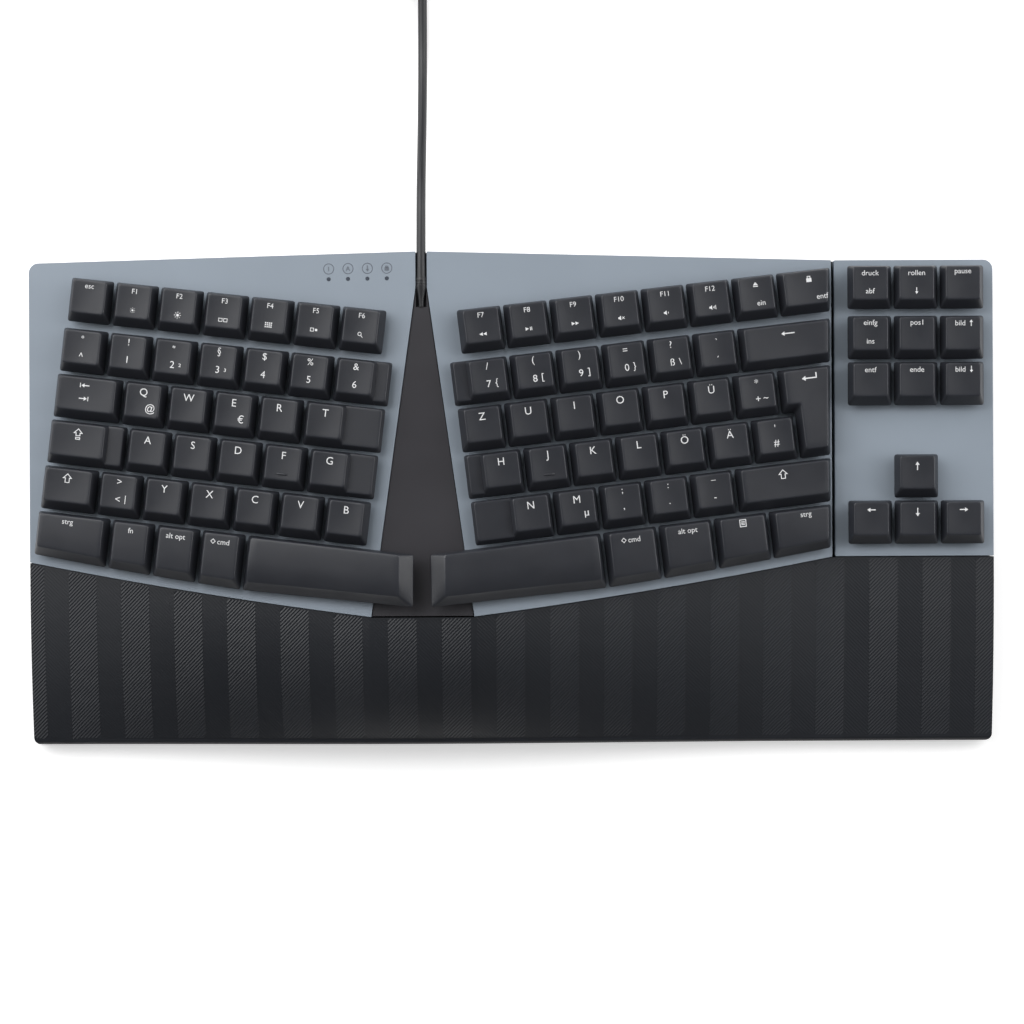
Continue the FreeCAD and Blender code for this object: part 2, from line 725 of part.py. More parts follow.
def rounded_wire(corners):
    """Makes a closed wire through corners, each given as x, y and a corner radius."""
    count = len(corners)
    points = [vector(x, y) for x, y, _ in corners]
    starts, stops, arcs = [], [], []
    for i, (_, _, radius) in enumerate(corners):
        before = points[i - 1] - points[i]
        after = points[(i + 1) % count] - points[i]
        before.normalize()
        after.normalize()
        half = before.getAngle(after) / 2
        reach = radius / math.tan(half) if radius else 0.0
        starts.append(points[i] + before * reach)
        stops.append(points[i] + after * reach)
        inward = before + after
        inward = inward.normalize() if radius else inward
        arcs.append(points[i] + inward * (radius / math.sin(half) - radius))
    edges = []
    for i, (_, _, radius) in enumerate(corners):
        if radius:
            edges.append(Part.Arc(starts[i], arcs[i], stops[i]).toShape())
        edges.append(Part.LineSegment(stops[i], starts[(i + 1) % count]).toShape())
    return Part.Wire(edges)


def prism(wire, low, high):
    """Extrudes a flat wire at z 0 from one height to another."""
    raised = wire.copy()
    raised.translate(vector(0, 0, low))
    return Part.Face(raised).extrude(vector(0, 0, high - low))


def inset(wire, distance):
    """Returns a closed flat wire moved inwards."""
    return wire.makeOffset2D(-distance, 2) if distance else wire


OUTLINE = rounded_wire(
    (
        (-HALF_WIDTH, FRONT, size("front_corner_radius")),
        (HALF_WIDTH, FRONT, size("front_corner_radius")),
        (HALF_WIDTH, REAR, size("rear_corner_radius")),
        (SEAM, REAR, 0.0),
        (RIDGE, REAR + size("rear_crown"), 0.0),
        (-HALF_WIDTH, REAR, size("rear_corner_radius")),
    )
)
BEYOND = 30.0


def half_area(side, curve):
    """Returns the plan area of a tented deck: side is -1 on the left and 1 on the right."""
    outer, bow, inner = [vector(x, y) for x, y in curve]
    if side > 0:
        outer, inner = inner, outer
        outer.x -= size("seam_gap") / 2
        outer.y = palm_line(outer.x)
    far = REAR + BEYOND
    slot = RIDGE + side * size("slot_half")
    beyond_x = outer.x if side > 0 else outer.x - BEYOND
    points = [
        inner,
        vector(slot, SPINE_TIP),
        vector(slot, far),
        vector(beyond_x, far),
        vector(beyond_x, outer.y),
    ]
    if side < 0:
        points.append(outer)
    edges = [Part.LineSegment(p, q).toShape() for p, q in zip(points, points[1:])]
    edges.append(Part.Arc(points[-1], bow, inner).toShape())
    return Part.Wire(edges)


def level_area():
    """Returns the plan area of the navigation deck."""
    left, right = SEAM + size("seam_gap") / 2, HALF_WIDTH + BEYOND
    low, high = outer_right, REAR + BEYOND
    return rounded_wire([(left, low, 0), (right, low, 0), (right, high, 0), (left, high, 0)])


def tent_region(low, high):
    """Makes the space between two depths below the deck surface, past the whole footprint."""
    reach = HALF_WIDTH + BEYOND
    stops = (-reach, RIDGE, SEAM, reach)
    above = [vector(x, -reach, deck_height(x) - low) for x in stops]
    below = [vector(x, -reach, deck_height(x) - high) for x in reversed(stops)]
    wire = Part.makePolygon(above + below + above[:1])
    return Part.Face(wire).extrude(vector(0, 2 * reach, 0))


def under_deck(area, margin, low, high):
    """Makes the part of a deck's area between two depths, moved in from its edge."""
    footprint = prism(inset(OUTLINE, margin), 0, ABOVE)
    return footprint.common(prism(inset(area, margin), 0, ABOVE)).common(tent_region(low, high))


# Screw posts on the covers, each above a boss of the case

EDGE = size("boss_inset")
SCREWS = (
    ("left_deck", -HALF_WIDTH + EDGE, REAR - 2 * EDGE),
    ("left_deck", RIDGE - 3 * PITCH, REAR - EDGE),
    ("left_deck", -HALF_WIDTH + EDGE, outer_left + 2 * EDGE),
    ("right_deck", RIDGE + PITCH + EDGE, REAR - EDGE),
    ("right_deck", RIDGE + 5 * PITCH + EDGE, REAR - EDGE),
    ("navigation_deck", PAD_MIDDLE - PITCH, 0),
    ("navigation_deck", PAD_MIDDLE + PITCH, 0),
    ("centre_spine", RIDGE, SPINE_TIP - 2.5 * PITCH),
    ("centre_spine", RIDGE, PALM_INNER + 1.5 * PITCH),
    ("palm_rest", -HALF_WIDTH + 2.5 * PITCH, FRONT + PITCH),
    ("palm_rest", RIDGE - 2.5 * PITCH, FRONT + PITCH),
    ("palm_rest", RIDGE + 2.5 * PITCH, FRONT + PITCH),
    ("palm_rest", HALF_WIDTH - 2.5 * PITCH, FRONT + PITCH),
)
LEVEL_POST_Y = FRAMES["pad"].Base.y + row_rear(UPPER) - size("key_depth") - PITCH / 2


def spine_height(y):
    """Returns the height of the spine surface at a place along its length."""
    share = (SPINE_TIP - y) / (SPINE_TIP - PALM_INNER)
    half = size("slot_half") + (size("spine_front_half") - size("slot_half")) * share
    return RIDGE_HEIGHT - SLOPE * half - size("spine_drop")


def screw_places(cover=None):
    """Returns the x, y and boss height of the screws of one cover, or of all covers."""
    found = []
    for name, x, y in SCREWS:
        y = LEVEL_POST_Y if name == "navigation_deck" else y
        if cover not in (None, name):
            continue
        if name == "palm_rest":
            top = PALM_FOOT + size("screw_head_height")
        elif name == "centre_spine":
            top = spine_height(y) - size("spine_thickness") - size("post_length")
        else:
            top = deck_height(x) - size("deck_thickness") - size("post_length")
        found.append((x, y, top))
    return found


def posts_for(cover, limit):
    """Returns the screw posts of a cover, each reaching up into the cover's own space."""
    radius = size("boss_radius")
    return [
        Part.makeCylinder(radius, ABOVE, vector(x, y, top)).common(limit)
        for x, y, top in screw_places(cover)
    ]


def post_bores(cover):
    """Returns the blind bores of a cover's screw posts."""
    radius = size("screw_radius") + size("screw_gap")
    depth = size("screw_bite") + 2 * size("screw_gap")
    bores = [Part.makeCylinder(radius, depth, vector(*spot)) for spot in screw_places(cover)]
    return Part.makeCompound(bores)


# Decks


def deck(name, area, field, pipes=None):
    """Makes a deck: a top wall with side walls, cutouts, screw posts and indicator holes."""
    wall, skirt = size("case_wall"), size("deck_skirt")
    thickness = size("deck_thickness")
    blank = under_deck(area, 0, 0, skirt)
    hollow = under_deck(area, wall, thickness, skirt + 1)
    shell = fused([blank.cut(hollow)] + posts_for(name, tent_region(0, ABOVE)))
    openings = cutouts_in(field).Solids + post_bores(name).Solids
    if pipes:
        openings += pipes
    body = feature(f"{name}_shell", shell)
    tools = feature(f"{name}_openings", Part.makeCompound(openings))
    return keep(cut(f"{name}_body", body, tools), name)


PIPE_PLACES = [
    (RIDGE - size("pipe_inset_x") + (i - 1.5) * size("pipe_pitch"), REAR - size("pipe_inset_y"))
    for i in range(4)
]


def pipe_shapes(radius, low, high):
    """Makes the four indicator pipes, or their holes, between two depths."""
    rods = [Part.makeCylinder(radius, ABOVE, vector(x, y, 0)) for x, y in PIPE_PLACES]
    return [rod.common(tent_region(low, high)) for rod in rods]


AREAS = {
    "left_deck": half_area(-1, LEFT_CURVE),
    "right_deck": half_area(1, RIGHT_CURVE),
    "navigation_deck": level_area(),
}
BOARD_DEPTH = size("switch_depth") / math.cos(TENT)
pipe_hole = size("pipe_radius") + size("screw_gap")
deck("left_deck", AREAS["left_deck"], "left", pipe_shapes(pipe_hole, -1, BOARD_DEPTH))
deck("right_deck", AREAS["right_deck"], "right")
deck("navigation_deck", AREAS["navigation_deck"], "pad")
pipes = Part.makeCompound(pipe_shapes(size("pipe_radius"), 0, BOARD_DEPTH))
keep(feature("pipe_rods", pipes), "light_pipes")


# Circuit boards and the controller chip


def circuit_board(name):
    """Makes the board under one deck, against the bottoms of its switches."""
    level = name == "navigation_deck"
    depth = size("switch_depth") if level else BOARD_DEPTH
    board = under_deck(AREAS[name], size("board_margin"), depth, depth + size("board_thickness"))
    radius = size("boss_radius") + size("shell_gap")
    for x, y, _ in screw_places(name):
        board = board.cut(Part.makeCylinder(radius, ABOVE, vector(x, y, 0)))
    return board.Solids[0]


boards = Part.makeCompound([circuit_board(name) for name in AREAS])
keep(feature("boards", boards), "circuit_boards")

chip = doc.addObject("Part::Box", "chip")
bind(chip, Length="Sizes.chip_side", Width="Sizes.chip_side", Height="Sizes.chip_height")
chip_frame = FRAMES["right"].copy()
chip_low = -size("switch_depth") - size("board_thickness") - size("chip_height")
chip_spot = chip_frame.multVec(vector(PITCH, -PITCH, chip_low))
chip.Placement = FreeCAD.Placement(chip_spot, chip_frame.Rotation)
keep(chip, "controller_chip")


# Centre spine


def spine_outline(gap):
    """Returns the plan outline of the spine's wedge."""
    tip, front = size("slot_half") - gap, size("spine_front_half") - gap
    return rounded_wire(
        (
            (RIDGE - tip, SPINE_TIP, 0),
            (RIDGE - front, PALM_INNER + gap, 0),
            (RIDGE + front, PALM_INNER + gap, 0),
            (RIDGE + tip, SPINE_TIP, 0),
        )
    )


CABLE_AXIS = RIDGE_HEIGHT + size("cable_rise") - size("cable_diameter") / 2
TONGUE_TOP = CABLE_AXIS - size("cable_diameter") / 2 - size("shell_gap")


def spine_body():
    """Makes the spine: a wedge between the decks with a tongue below the cable."""
    gap, thick = size("shell_gap"), size("spine_thickness")
    ends = (SPINE_TIP + 1, PALM_INNER - 1)
    above = [vector(-BEYOND + RIDGE, y, spine_height(y)) for y in ends]
    below = [point - vector(0, 0, thick) for point in reversed(above)]
    slab = Part.Face(Part.makePolygon(above + below + above[:1])).extrude(vector(2 * BEYOND, 0, 0))
    wedge = slab.common(prism(spine_outline(gap), 0, ABOVE))
    half = size("slot_half") - gap
    length = REAR + size("rear_crown") - gap - SPINE_TIP
    corner = vector(RIDGE - half, SPINE_TIP - PITCH / 2, TONGUE_TOP - thick)
    tongue = Part.makeBox(2 * half, length + PITCH / 2, thick, corner)
    ground = [vector(point.x, point.y) for point in reversed(above)]
    roof = Part.Face(Part.makePolygon(above + ground + above[:1]))
    limit = roof.extrude(vector(2 * BEYOND, 0, 0))
    return fused([wedge, tongue] + posts_for("centre_spine", limit))


def relief_cone(extra):
    """Makes the tapered strain relief, or its seat when extra is added to its radii."""
    start = vector(RIDGE, SPINE_TIP + size("relief_reach") - size("relief_length"), CABLE_AXIS)
    thin = size("cable_diameter") / 2
    return Part.makeCone(
        size("relief_radius") + extra, thin + extra, size("relief_length"), start, vector(0, 1, 0)
    )


spine_tools = Part.makeCompound([relief_cone(size("screw_gap"))] + post_bores("centre_spine").Solids)
spine_blank = feature("spine_blank", spine_body())
keep(cut("spine_cut", spine_blank, feature("spine_tools", spine_tools)), "centre_spine")


# Palm rest


def palm_profile(x, inward):
    """Returns the front-to-rear section of the palm rest at x, moved inwards for its hollow."""
    share = 1 - min(abs(x - RIDGE) / (RIDGE + HALF_WIDTH), 1.0)
    arch = size("palm_front_crown") * (1 - math.cos(math.pi * share)) / 2
    top_front = PALM_FOOT + size("palm_front_rise") + arch - inward
    surface = deck_height(x)
    if PALM_LEFT <= x <= PALM_RIGHT:
        surface = RIDGE_HEIGHT - SLOPE * size("spine_front_half")
    top_rear = surface - size("palm_drop") - inward
    foot = PALM_FOOT - (1.0 if inward else 0.0)
    rear_y = palm_line(x) - size("shell_gap") - inward
    front_y = FRONT + inward
    radius = size("palm_front_radius") - min(inward, size("palm_front_radius") / 2)
    start = vector(x, front_y + radius, top_front)
    edge = vector(x, front_y, top_front - radius)
    diagonal = radius * (1 - math.sqrt(0.5))
    corner = vector(x, front_y + diagonal, top_front - diagonal)
    rise, run_length = top_rear - top_front, rear_y - start.y
    bend = (rise * rise + run_length * run_length) / (2 * rise)
    angle = math.asin(run_length / bend) / 2
    bow = vector(x, rear_y - bend * math.sin(angle), top_rear - bend * (1 - math.cos(angle)))
    rear_top = vector(x, rear_y, top_rear)
    edges = [
        Part.LineSegment(vector(x, rear_y, foot), rear_top).toShape(),
        Part.Arc(rear_top, bow, start).toShape(),
        Part.Arc(start, corner, edge).toShape(),
        Part.LineSegment(edge, vector(x, front_y, foot)).toShape(),
        Part.LineSegment(vector(x, front_y, foot), vector(x, rear_y, foot)).toShape(),
    ]
    return Part.Wire(edges)


def palm_loft(inward):
    """Makes the palm rest's outer form, or its hollow when it is moved inwards."""
    places = [min(max(x, -HALF_WIDTH + inward), HALF_WIDTH - inward) for x in STATIONS]
    return Part.makeLoft([palm_profile(x, inward) for x in places], True, True)


palm_outer = palm_loft(0.0)
palm_shell = palm_outer.common(prism(OUTLINE, 0, ABOVE)).cut(palm_loft(size("palm_wall")))
palm_posts = posts_for("palm_rest", palm_outer)
palm_blank = feature("palm_blank", fused([palm_shell] + palm_posts))
palm_tools = feature("palm_tools", post_bores("palm_rest"))
keep(cut("palm_cut", palm_blank, palm_tools), "palm_rest")


# Tilt feet on their pins

FOOT_PIN_Y = REAR - size("foot_inset_y")
FOOT_PLACES = {
    "left": -HALF_WIDTH + size("foot_inset_x"),
    "right": HALF_WIDTH - size("foot_inset_x"),
}


def foot_parts(side, x):
    """Makes one folded tilt foot with its bore, and returns its pin."""
    plate = doc.addObject("Part::Box", f"foot_plate_{side}")
    bind(plate, Length="Sizes.foot_width", Width="Sizes.foot_length", Height="Sizes.foot_thickness")
    left = x - size("foot_width") / 2
    place(plate, left, FOOT_PIN_Y - size("foot_length"), PIN_HEIGHT - size("foot_thickness") / 2)
    along_x = FreeCAD.Rotation(vector(0, 1, 0), 90)
    barrel = doc.addObject("Part::Cylinder", f"foot_barrel_{side}")
    bind(barrel, Radius="Sizes.foot_thickness / 2", Height="Sizes.foot_width")
    place(barrel, left, FOOT_PIN_Y, PIN_HEIGHT, along_x)
    both = doc.addObject("Part::Fuse", f"foot_blank_{side}")
    both.Base, both.Tool = plate, barrel
    bore = doc.addObject("Part::Cylinder", f"foot_bore_{side}")
    bind(bore, Radius="Sizes.foot_pin_radius + Sizes.foot_bore_gap", Height="Sizes.foot_width")
    place(bore, left, FOOT_PIN_Y, PIN_HEIGHT, along_x)
    keep(cut(f"foot_{side}", both, bore), f"tilt_foot_{side}")
    pin = doc.addObject("Part::Cylinder", f"foot_pin_{side}")
    grip = "Sizes.foot_gap + Sizes.foot_pin_grip"
    bind(pin, Radius="Sizes.foot_pin_radius", Height=f"Sizes.foot_width + 2 * ({grip})")
    place(pin, left - size("foot_gap") - size("foot_pin_grip"), FOOT_PIN_Y, PIN_HEIGHT, along_x)
    return pin


pins = [foot_parts(side, x) for side, x in FOOT_PLACES.items()]
keep(group("foot_pins", pins), "tilt_foot_pins")


# Bottom case


def foot_well(x, wall, top):
    """Makes the pocket of a tilt foot, or with a wall the block around it."""
    gap = size("foot_gap") + wall
    width = size("foot_width") + 2 * gap
    length = size("foot_length") + size("foot_thickness") / 2 + 2 * gap
    corner = vector(x - width / 2, FOOT_PIN_Y - size("foot_length") - gap, 0)
    return Part.makeBox(width, length, top, corner)


def palm_area():
    """Returns the plan area in front of the decks, past the footprint's front and sides."""
    reach = HALF_WIDTH + BEYOND
    line = [vector(x, palm_line(x)) for x in STATIONS]
    line[:0] = [vector(-reach, FRONT - BEYOND), vector(-reach, line[0].y)]
    line += [vector(reach, line[-1].y), vector(reach, FRONT - BEYOND)]
    return Part.makePolygon(line + line[:1])


def front_wall_area():
    """Returns the plan area of the case's wall below the decks' front edges."""
    wall = size("case_wall")
    front = [vector(x, palm_line(x)) for x in STATIONS]
    back = [vector(x, palm_line(x) + wall) for x in reversed(STATIONS)]
    return Part.makePolygon(front + back + front[:1])


def case_body():
    """Makes the bottom case with its walls, bosses and foot wells."""
    wall, radius = size("case_wall"), size("boss_radius")
    below_decks = tent_region(size("deck_skirt"), 2 * ABOVE)
    walls = prism(OUTLINE, CASE_BOTTOM, ABOVE).cut(prism(inset(OUTLINE, wall), FLOOR_TOP, ABOVE))
    inner = prism(front_wall_area(), CASE_BOTTOM, ABOVE)
    seam_left = SEAM - size("seam_gap") / 2 - wall
    rib = Part.makeBox(
        size("seam_gap") + 2 * wall,
        REAR - outer_right - wall / 2,
        ABOVE,
        vector(seam_left, outer_right, CASE_BOTTOM),
    )
    upper = fused([inner, rib]).common(prism(inset(OUTLINE, wall / 2), CASE_BOTTOM, ABOVE))
    body = fused([walls, upper]).common(below_decks)
    body = body.cut(prism(palm_area(), PALM_FOOT, ABOVE))
    added = [
        Part.makeCylinder(radius, top - CASE_BOTTOM, vector(x, y, CASE_BOTTOM))
        for x, y, top in screw_places()
    ]
    wells = [foot_well(x, wall, WELL_TOP + wall) for x in FOOT_PLACES.values()]
    shaft = prism(OUTLINE, CASE_BOTTOM, ABOVE)
    added += [well.common(shaft) for well in wells]
    return fused([body] + added)


def case_tools():
    """Returns everything that is cut out of the bottom case."""
    head = size("screw_head_radius") + size("shell_gap")
    shank = size("screw_radius") + size("screw_gap")
    tools = [foot_well(x, 0, WELL_TOP) for x in FOOT_PLACES.values()]
    for x, y, _ in screw_places():
        tools.append(Part.makeCylinder(shank, ABOVE, vector(x, y, 0)))
        tools.append(Part.makeCylinder(head, CASE_BOTTOM + size("screw_head_height"), vector(x, y, 0)))
    tools += [pin.Shape for pin in pins]
    return Part.makeCompound(tools)


doc.recompute()
case_blank = feature("case_blank", case_body())
case_cut = cut("case_cut", case_blank, feature("case_tools", case_tools()))
keep(case_cut, "bottom_case")


# Screws and rubber feet

screws = []
for i, (x, y, top) in enumerate(screw_places()):
    head = doc.addObject("Part::Cylinder", f"screw_head_{i}")
    bind(head, Radius="Sizes.screw_head_radius", Height="Sizes.screw_head_height")
    place(head, x, y, CASE_BOTTOM)
    shank = doc.addObject("Part::Cylinder", f"screw_shank_{i}")
    bind(shank, Radius="Sizes.screw_radius")
    shank.Height = top + size("screw_bite") - CASE_BOTTOM
    place(shank, x, y, CASE_BOTTOM)
    screw = doc.addObject("Part::Fuse", f"screw_{i}")
    screw.Base, screw.Tool = head, shank
    screws.append(screw)
keep(group("screws", screws), "case_screws")

side_x = HALF_WIDTH - size("pad_inset")
PAD_PLACES = [(x, FRONT + size("pad_inset")) for x in (-side_x, RIDGE, side_x)]
PAD_PLACES += [(x, FOOT_PIN_Y - size("foot_length") - 2 * size("pad_radius")) for x in (-side_x, side_x)]
PAD_PLACES += [(RIDGE, REAR - size("pad_inset"))]
pads = []
for i, (x, y) in enumerate(PAD_PLACES):
    pad = doc.addObject("Part::Cylinder", f"rubber_pad_{i}")
    bind(pad, Radius="Sizes.pad_radius", Height="Sizes.pad_height")
    pads.append(place(pad, x, y, 0))
keep(group("pads", pads), "rubber_feet")


# Cable, from the strain relief to the plug

THICK = size("cable_diameter")
COIL_LEVEL = size("tie_thickness") + size("tie_gap") + THICK / 2
LAYER_TURNS = 2.75
LAYERS = 4
SPREAD = LAYER_TURNS * size("coil_pitch") / 2
COIL_Y = REAR + size("coil_distance")
COIL_X = RIDGE - size("coil_radius") - SPREAD

keep(feature("relief", relief_cone(0)), "strain_relief")


def tube_along(wire):
    """Sweeps the cable's round section along a smooth wire."""
    start = wire.Edges[0]
    point = start.valueAt(start.FirstParameter)
    heading = start.tangentAt(start.FirstParameter)
    section = Part.Wire([Part.makeCircle(THICK / 2, point, heading)])
    return wire.makePipeShell([section], True, False)


def rounded_route(name, points):
    """Joins straight runs with tangent arcs, each as large as its two runs allow."""
    edges, here, radii = [], points[0], []
    for before, corner, after in zip(points, points[1:], points[2:]):
        back, on = before - corner, after - corner
        shorter = min(back.Length, on.Length)
        back.normalize()
        on.normalize()
        half_turn = (math.pi - back.getAngle(on)) / 2
        reach = 0.45 * shorter
        radius = reach / math.tan(half_turn)
        radii.append(round(radius, 1))
        first, last = corner + back * reach, corner + on * reach
        inward = (back + on).normalize()
        apex = corner + inward * (radius / math.cos(half_turn) - radius)
        edges.append(Part.LineSegment(here, first).toShape())
        edges.append(Part.Arc(first, apex, last).toShape())
        here = last
    edges.append(Part.LineSegment(here, points[-1]).toShape())
    wire = Part.Wire(edges)
    tube = tube_along(wire)
    ratio = tube.Volume / (math.pi * THICK**2 / 4 * wire.Length)
    print(f"{name}: length {wire.Length:.1f}, radii {radii}, volume ratio {ratio:.4f}")
    return tube, wire.Length


def arc_from(start, heading, end):
    """Makes the arc that leaves a point along a heading and ends at another point."""
    chord = end - start
    along = chord.Length
    unit = chord * (1 / along)
    bend = heading.getAngle(chord)
    aside = unit * heading.dot(unit) - heading
    if bend < 1e-7 or aside.Length < 1e-9:
        return Part.LineSegment(start, end).toShape()
    aside.normalize()
    rise = along / 2 * math.tan(bend / 2)
    return Part.Arc(start, start + chord * 0.5 - aside * rise, end).toShape()


def biarc(start, heading, end, landing):
    """Joins two points with given headings by two arcs that meet smoothly."""
    chord = end - start
    both = heading + landing
    a = 2 * (1 - heading.dot(landing))
    b = 2 * chord.dot(both)
    c = -chord.dot(chord)
    reach = -c / b if abs(a) < 1e-9 else (-b + math.sqrt(b * b - 4 * a * c)) / (2 * a)
    meet = (start + heading * reach + end - landing * reach) * 0.5
    first = arc_from(start, heading, meet)
    last = arc_from(end, landing * -1, meet)
    return [first, last]


def coil_radius(turn):
    """Returns the coil's radius after a number of turns, winding in and out again."""
    place_in = turn % (2 * LAYER_TURNS)
    outside = size("coil_radius") + SPREAD
    if turn > LAYERS * LAYER_TURNS:
        return outside + (turn - LAYERS * LAYER_TURNS) * size("coil_pitch")
    return outside - size("coil_pitch") * min(place_in, 2 * LAYER_TURNS - place_in)


def coil_height(turn):
    """Returns the coil's height, with a climb in the half turn around each reversal."""
    layer = 0.0
    for change in range(1, LAYERS):
        share = (turn - change * LAYER_TURNS) * 2 + 0.5
        layer += min(max(share, 0.0), 1.0)
    return COIL_LEVEL + layer * size("coil_pitch")


def coil_point(turn):
    """Returns the place of the cable's axis after a number of turns."""
    angle = 2 * math.pi * turn
    radius = coil_radius(turn)
    x = COIL_X + radius * math.cos(angle)
    return vector(x, COIL_Y + radius * math.sin(angle), coil_height(turn))


def coil_heading(turn):
    """Returns the direction of the cable's axis after a number of turns."""
    step = 0.02
    ahead = coil_point(turn + step) - coil_point(turn - step)
    return ahead.normalize()


def coil_wire():
    """Returns the coil's axis: one smooth line of arcs, a quarter turn at a time."""
    quarters = round(4 * LAYERS * LAYER_TURNS) + 1
    spots = [coil_point(i / 4) for i in range(quarters + 1)]
    headings = [coil_heading(i / 4) for i in range(quarters + 1)]
    headings[0] = vector(0, 1, 0)
    headings[-1] = vector(-1, 0, 0)
    edges = [Part.LineSegment(spots[0] - headings[0] * THICK, spots[0]).toShape()]
    for i in range(quarters):
        edges += biarc(spots[i], headings[i], spots[i + 1], headings[i + 1])
    edges.append(Part.LineSegment(spots[-1], spots[-1] + headings[-1] * THICK).toShape())
    return Part.Wire(edges)


def least_gap(wire):
    """Returns the least distance between two turns of a cable, less its thickness."""
    points, passed = [], []
    so_far = 0.0
    for edge in wire.Edges:
        count = max(2, round(edge.Length / 2))
        first, last = edge.FirstParameter, edge.LastParameter
        for i in range(count):
            points.append(edge.valueAt(first + (last - first) * i / count))
            passed.append(so_far + edge.Length * i / count)
        so_far += edge.Length
    turn_length = 2 * math.pi * (size("coil_radius") - SPREAD)
    closest = min(
        points[i].distanceToPoint(points[j])
        for i in range(len(points))
        for j in range(i + 1, len(points))
        if passed[j] - passed[i] > turn_length / 2
    )
    return closest - THICK


coil_axis = coil_wire()
coil_tube = tube_along(coil_axis)
coil_ratio = coil_tube.Volume / (math.pi * THICK**2 / 4 * coil_axis.Length)
print(f"coil: length {coil_axis.Length:.1f}, least gap {least_gap(coil_axis):.2f}, ratio {coil_ratio:.4f}")
keep(feature("coil", coil_tube), "cable_coil")

LEAD_START = SPINE_TIP + size("relief_reach")
LEAD_END = COIL_Y - THICK
LEAD_ROUTE = (
    (LEAD_START, CABLE_AXIS),
    (LEAD_START + 31, CABLE_AXIS),
    (LEAD_START + 60, 17.0),
    (LEAD_START + 92, 2.4),
    (LEAD_END - 29, COIL_LEVEL),
    (LEAD_END, COIL_LEVEL),
)
lead_tube, lead_length = rounded_route("lead", [vector(RIDGE, y, z) for y, z in LEAD_ROUTE])
keep(feature("lead", lead_tube), "cable_lead")

coil_end = coil_axis.Edges[-1].Vertexes[-1].Point
GRIP_LEVEL = size("plug_grip_height") / 2
TAIL_ROUTE = (
    (0, coil_end.z),
    (21, coil_end.z),
    (46, 7.0),
    (70, GRIP_LEVEL),
    (90, GRIP_LEVEL),
)
tail_points = [vector(coil_end.x - along, coil_end.y, z) for along, z in TAIL_ROUTE]
tail_tube, tail_length = rounded_route("tail", tail_points)
keep(feature("tail", tail_tube), "cable_tail")
print(f"cable: {lead_length + coil_axis.Length + tail_length:.0f} in all")


# Cable tie around the coil, on the side away from the lead

TIE_HALF = size("tie_width") / 2
inner_turn = size("coil_radius") - SPREAD
tie_inner = math.sqrt(inner_turn**2 - TIE_HALF**2) - THICK / 2 - size("tie_gap")
tie_outer = size("coil_radius") + SPREAD + THICK / 2 + size("tie_gap")
tie_low = COIL_LEVEL - THICK / 2 - size("tie_gap")
tie_high = COIL_LEVEL + (LAYERS - 1) * size("coil_pitch") + THICK / 2 + size("tie_gap")
tie_hole = doc.addObject("Part::Box", "tie_hole")
tie_hole.Length = tie_outer - tie_inner
bind(tie_hole, Width="Sizes.tie_width")
tie_hole.Height = tie_high - tie_low
place(tie_hole, COIL_X - tie_outer, COIL_Y - TIE_HALF, tie_low)
tie_band = doc.addObject("Part::Box", "tie_band")
tie_edge = size("tie_thickness")
tie_band.Length = tie_outer - tie_inner + 2 * tie_edge
bind(tie_band, Width="Sizes.tie_width")
tie_band.Height = tie_high - tie_low + 2 * tie_edge
place(tie_band, COIL_X - tie_outer - tie_edge, COIL_Y - TIE_HALF, tie_low - tie_edge)
keep(cut("tie", tie_band, tie_hole), "cable_tie")


# Plug: grip, metal shell and tongue, lying behind the coil


def plug_box(name, length, width, height, front, low):
    """Makes a box of the plug, centred on the cable, whose end towards the cable is at front."""
    item = doc.addObject("Part::Box", name)
    bind(item, Length=length, Width=width, Height=height)
    doc.recompute()
    place(item, front - item.Length.Value, coil_end.y - item.Width.Value / 2, low)
    return item


grip_front = tail_points[-1].x
shell_front = grip_front - size("plug_grip_length")
shell_low = GRIP_LEVEL - size("plug_shell_height") / 2
wall = size("plug_shell_wall")
grip_sizes = ("Sizes.plug_grip_length", "Sizes.plug_grip_width", "Sizes.plug_grip_height")
grip_box = plug_box("grip_box", *grip_sizes, grip_front, 0)
grip = doc.addObject("Part::Fillet", "grip")
grip.Base = grip_box
lengthwise = [
    i
    for i, edge in enumerate(grip_box.Shape.Edges, start=1)
    if abs(edge.tangentAt(edge.FirstParameter).x) > 0.5
]
rounding = size("plug_grip_rounding")
grip.Edges = [(i, rounding, rounding) for i in lengthwise]
keep(grip, "plug_grip")

shell_sizes = ("Sizes.plug_shell_length", "Sizes.plug_shell_width", "Sizes.plug_shell_height")
shell_box = plug_box("shell_box", *shell_sizes, shell_front, shell_low)
hollow_sizes = (
    "Sizes.plug_shell_length",
    "Sizes.plug_shell_width - 2 * Sizes.plug_shell_wall",
    "Sizes.plug_shell_height - 2 * Sizes.plug_shell_wall",
)
shell_hollow = plug_box("shell_hollow", *hollow_sizes, shell_front, shell_low + wall)
keep(cut("shell", shell_box, shell_hollow), "plug_shell")

tongue_sizes = (
    "Sizes.plug_shell_length - Sizes.plug_shell_wall",
    "Sizes.plug_shell_width - 2 * Sizes.plug_shell_wall",
    "Sizes.plug_tongue_height",
)
keep(plug_box("tongue", *tongue_sizes, shell_front, shell_low + wall), "plug_tongue")


# Checks and output

doc.recompute()
faults = [item.Name for item in doc.Objects if {"Invalid", "Error"} & set(item.State)]
for item in finished:
    if item.Shape.isNull() or not item.Shape.isValid() or not item.Shape.Solids:
        faults.append(item.Label)
if faults:
    raise RuntimeError(f"failed objects: {faults}")

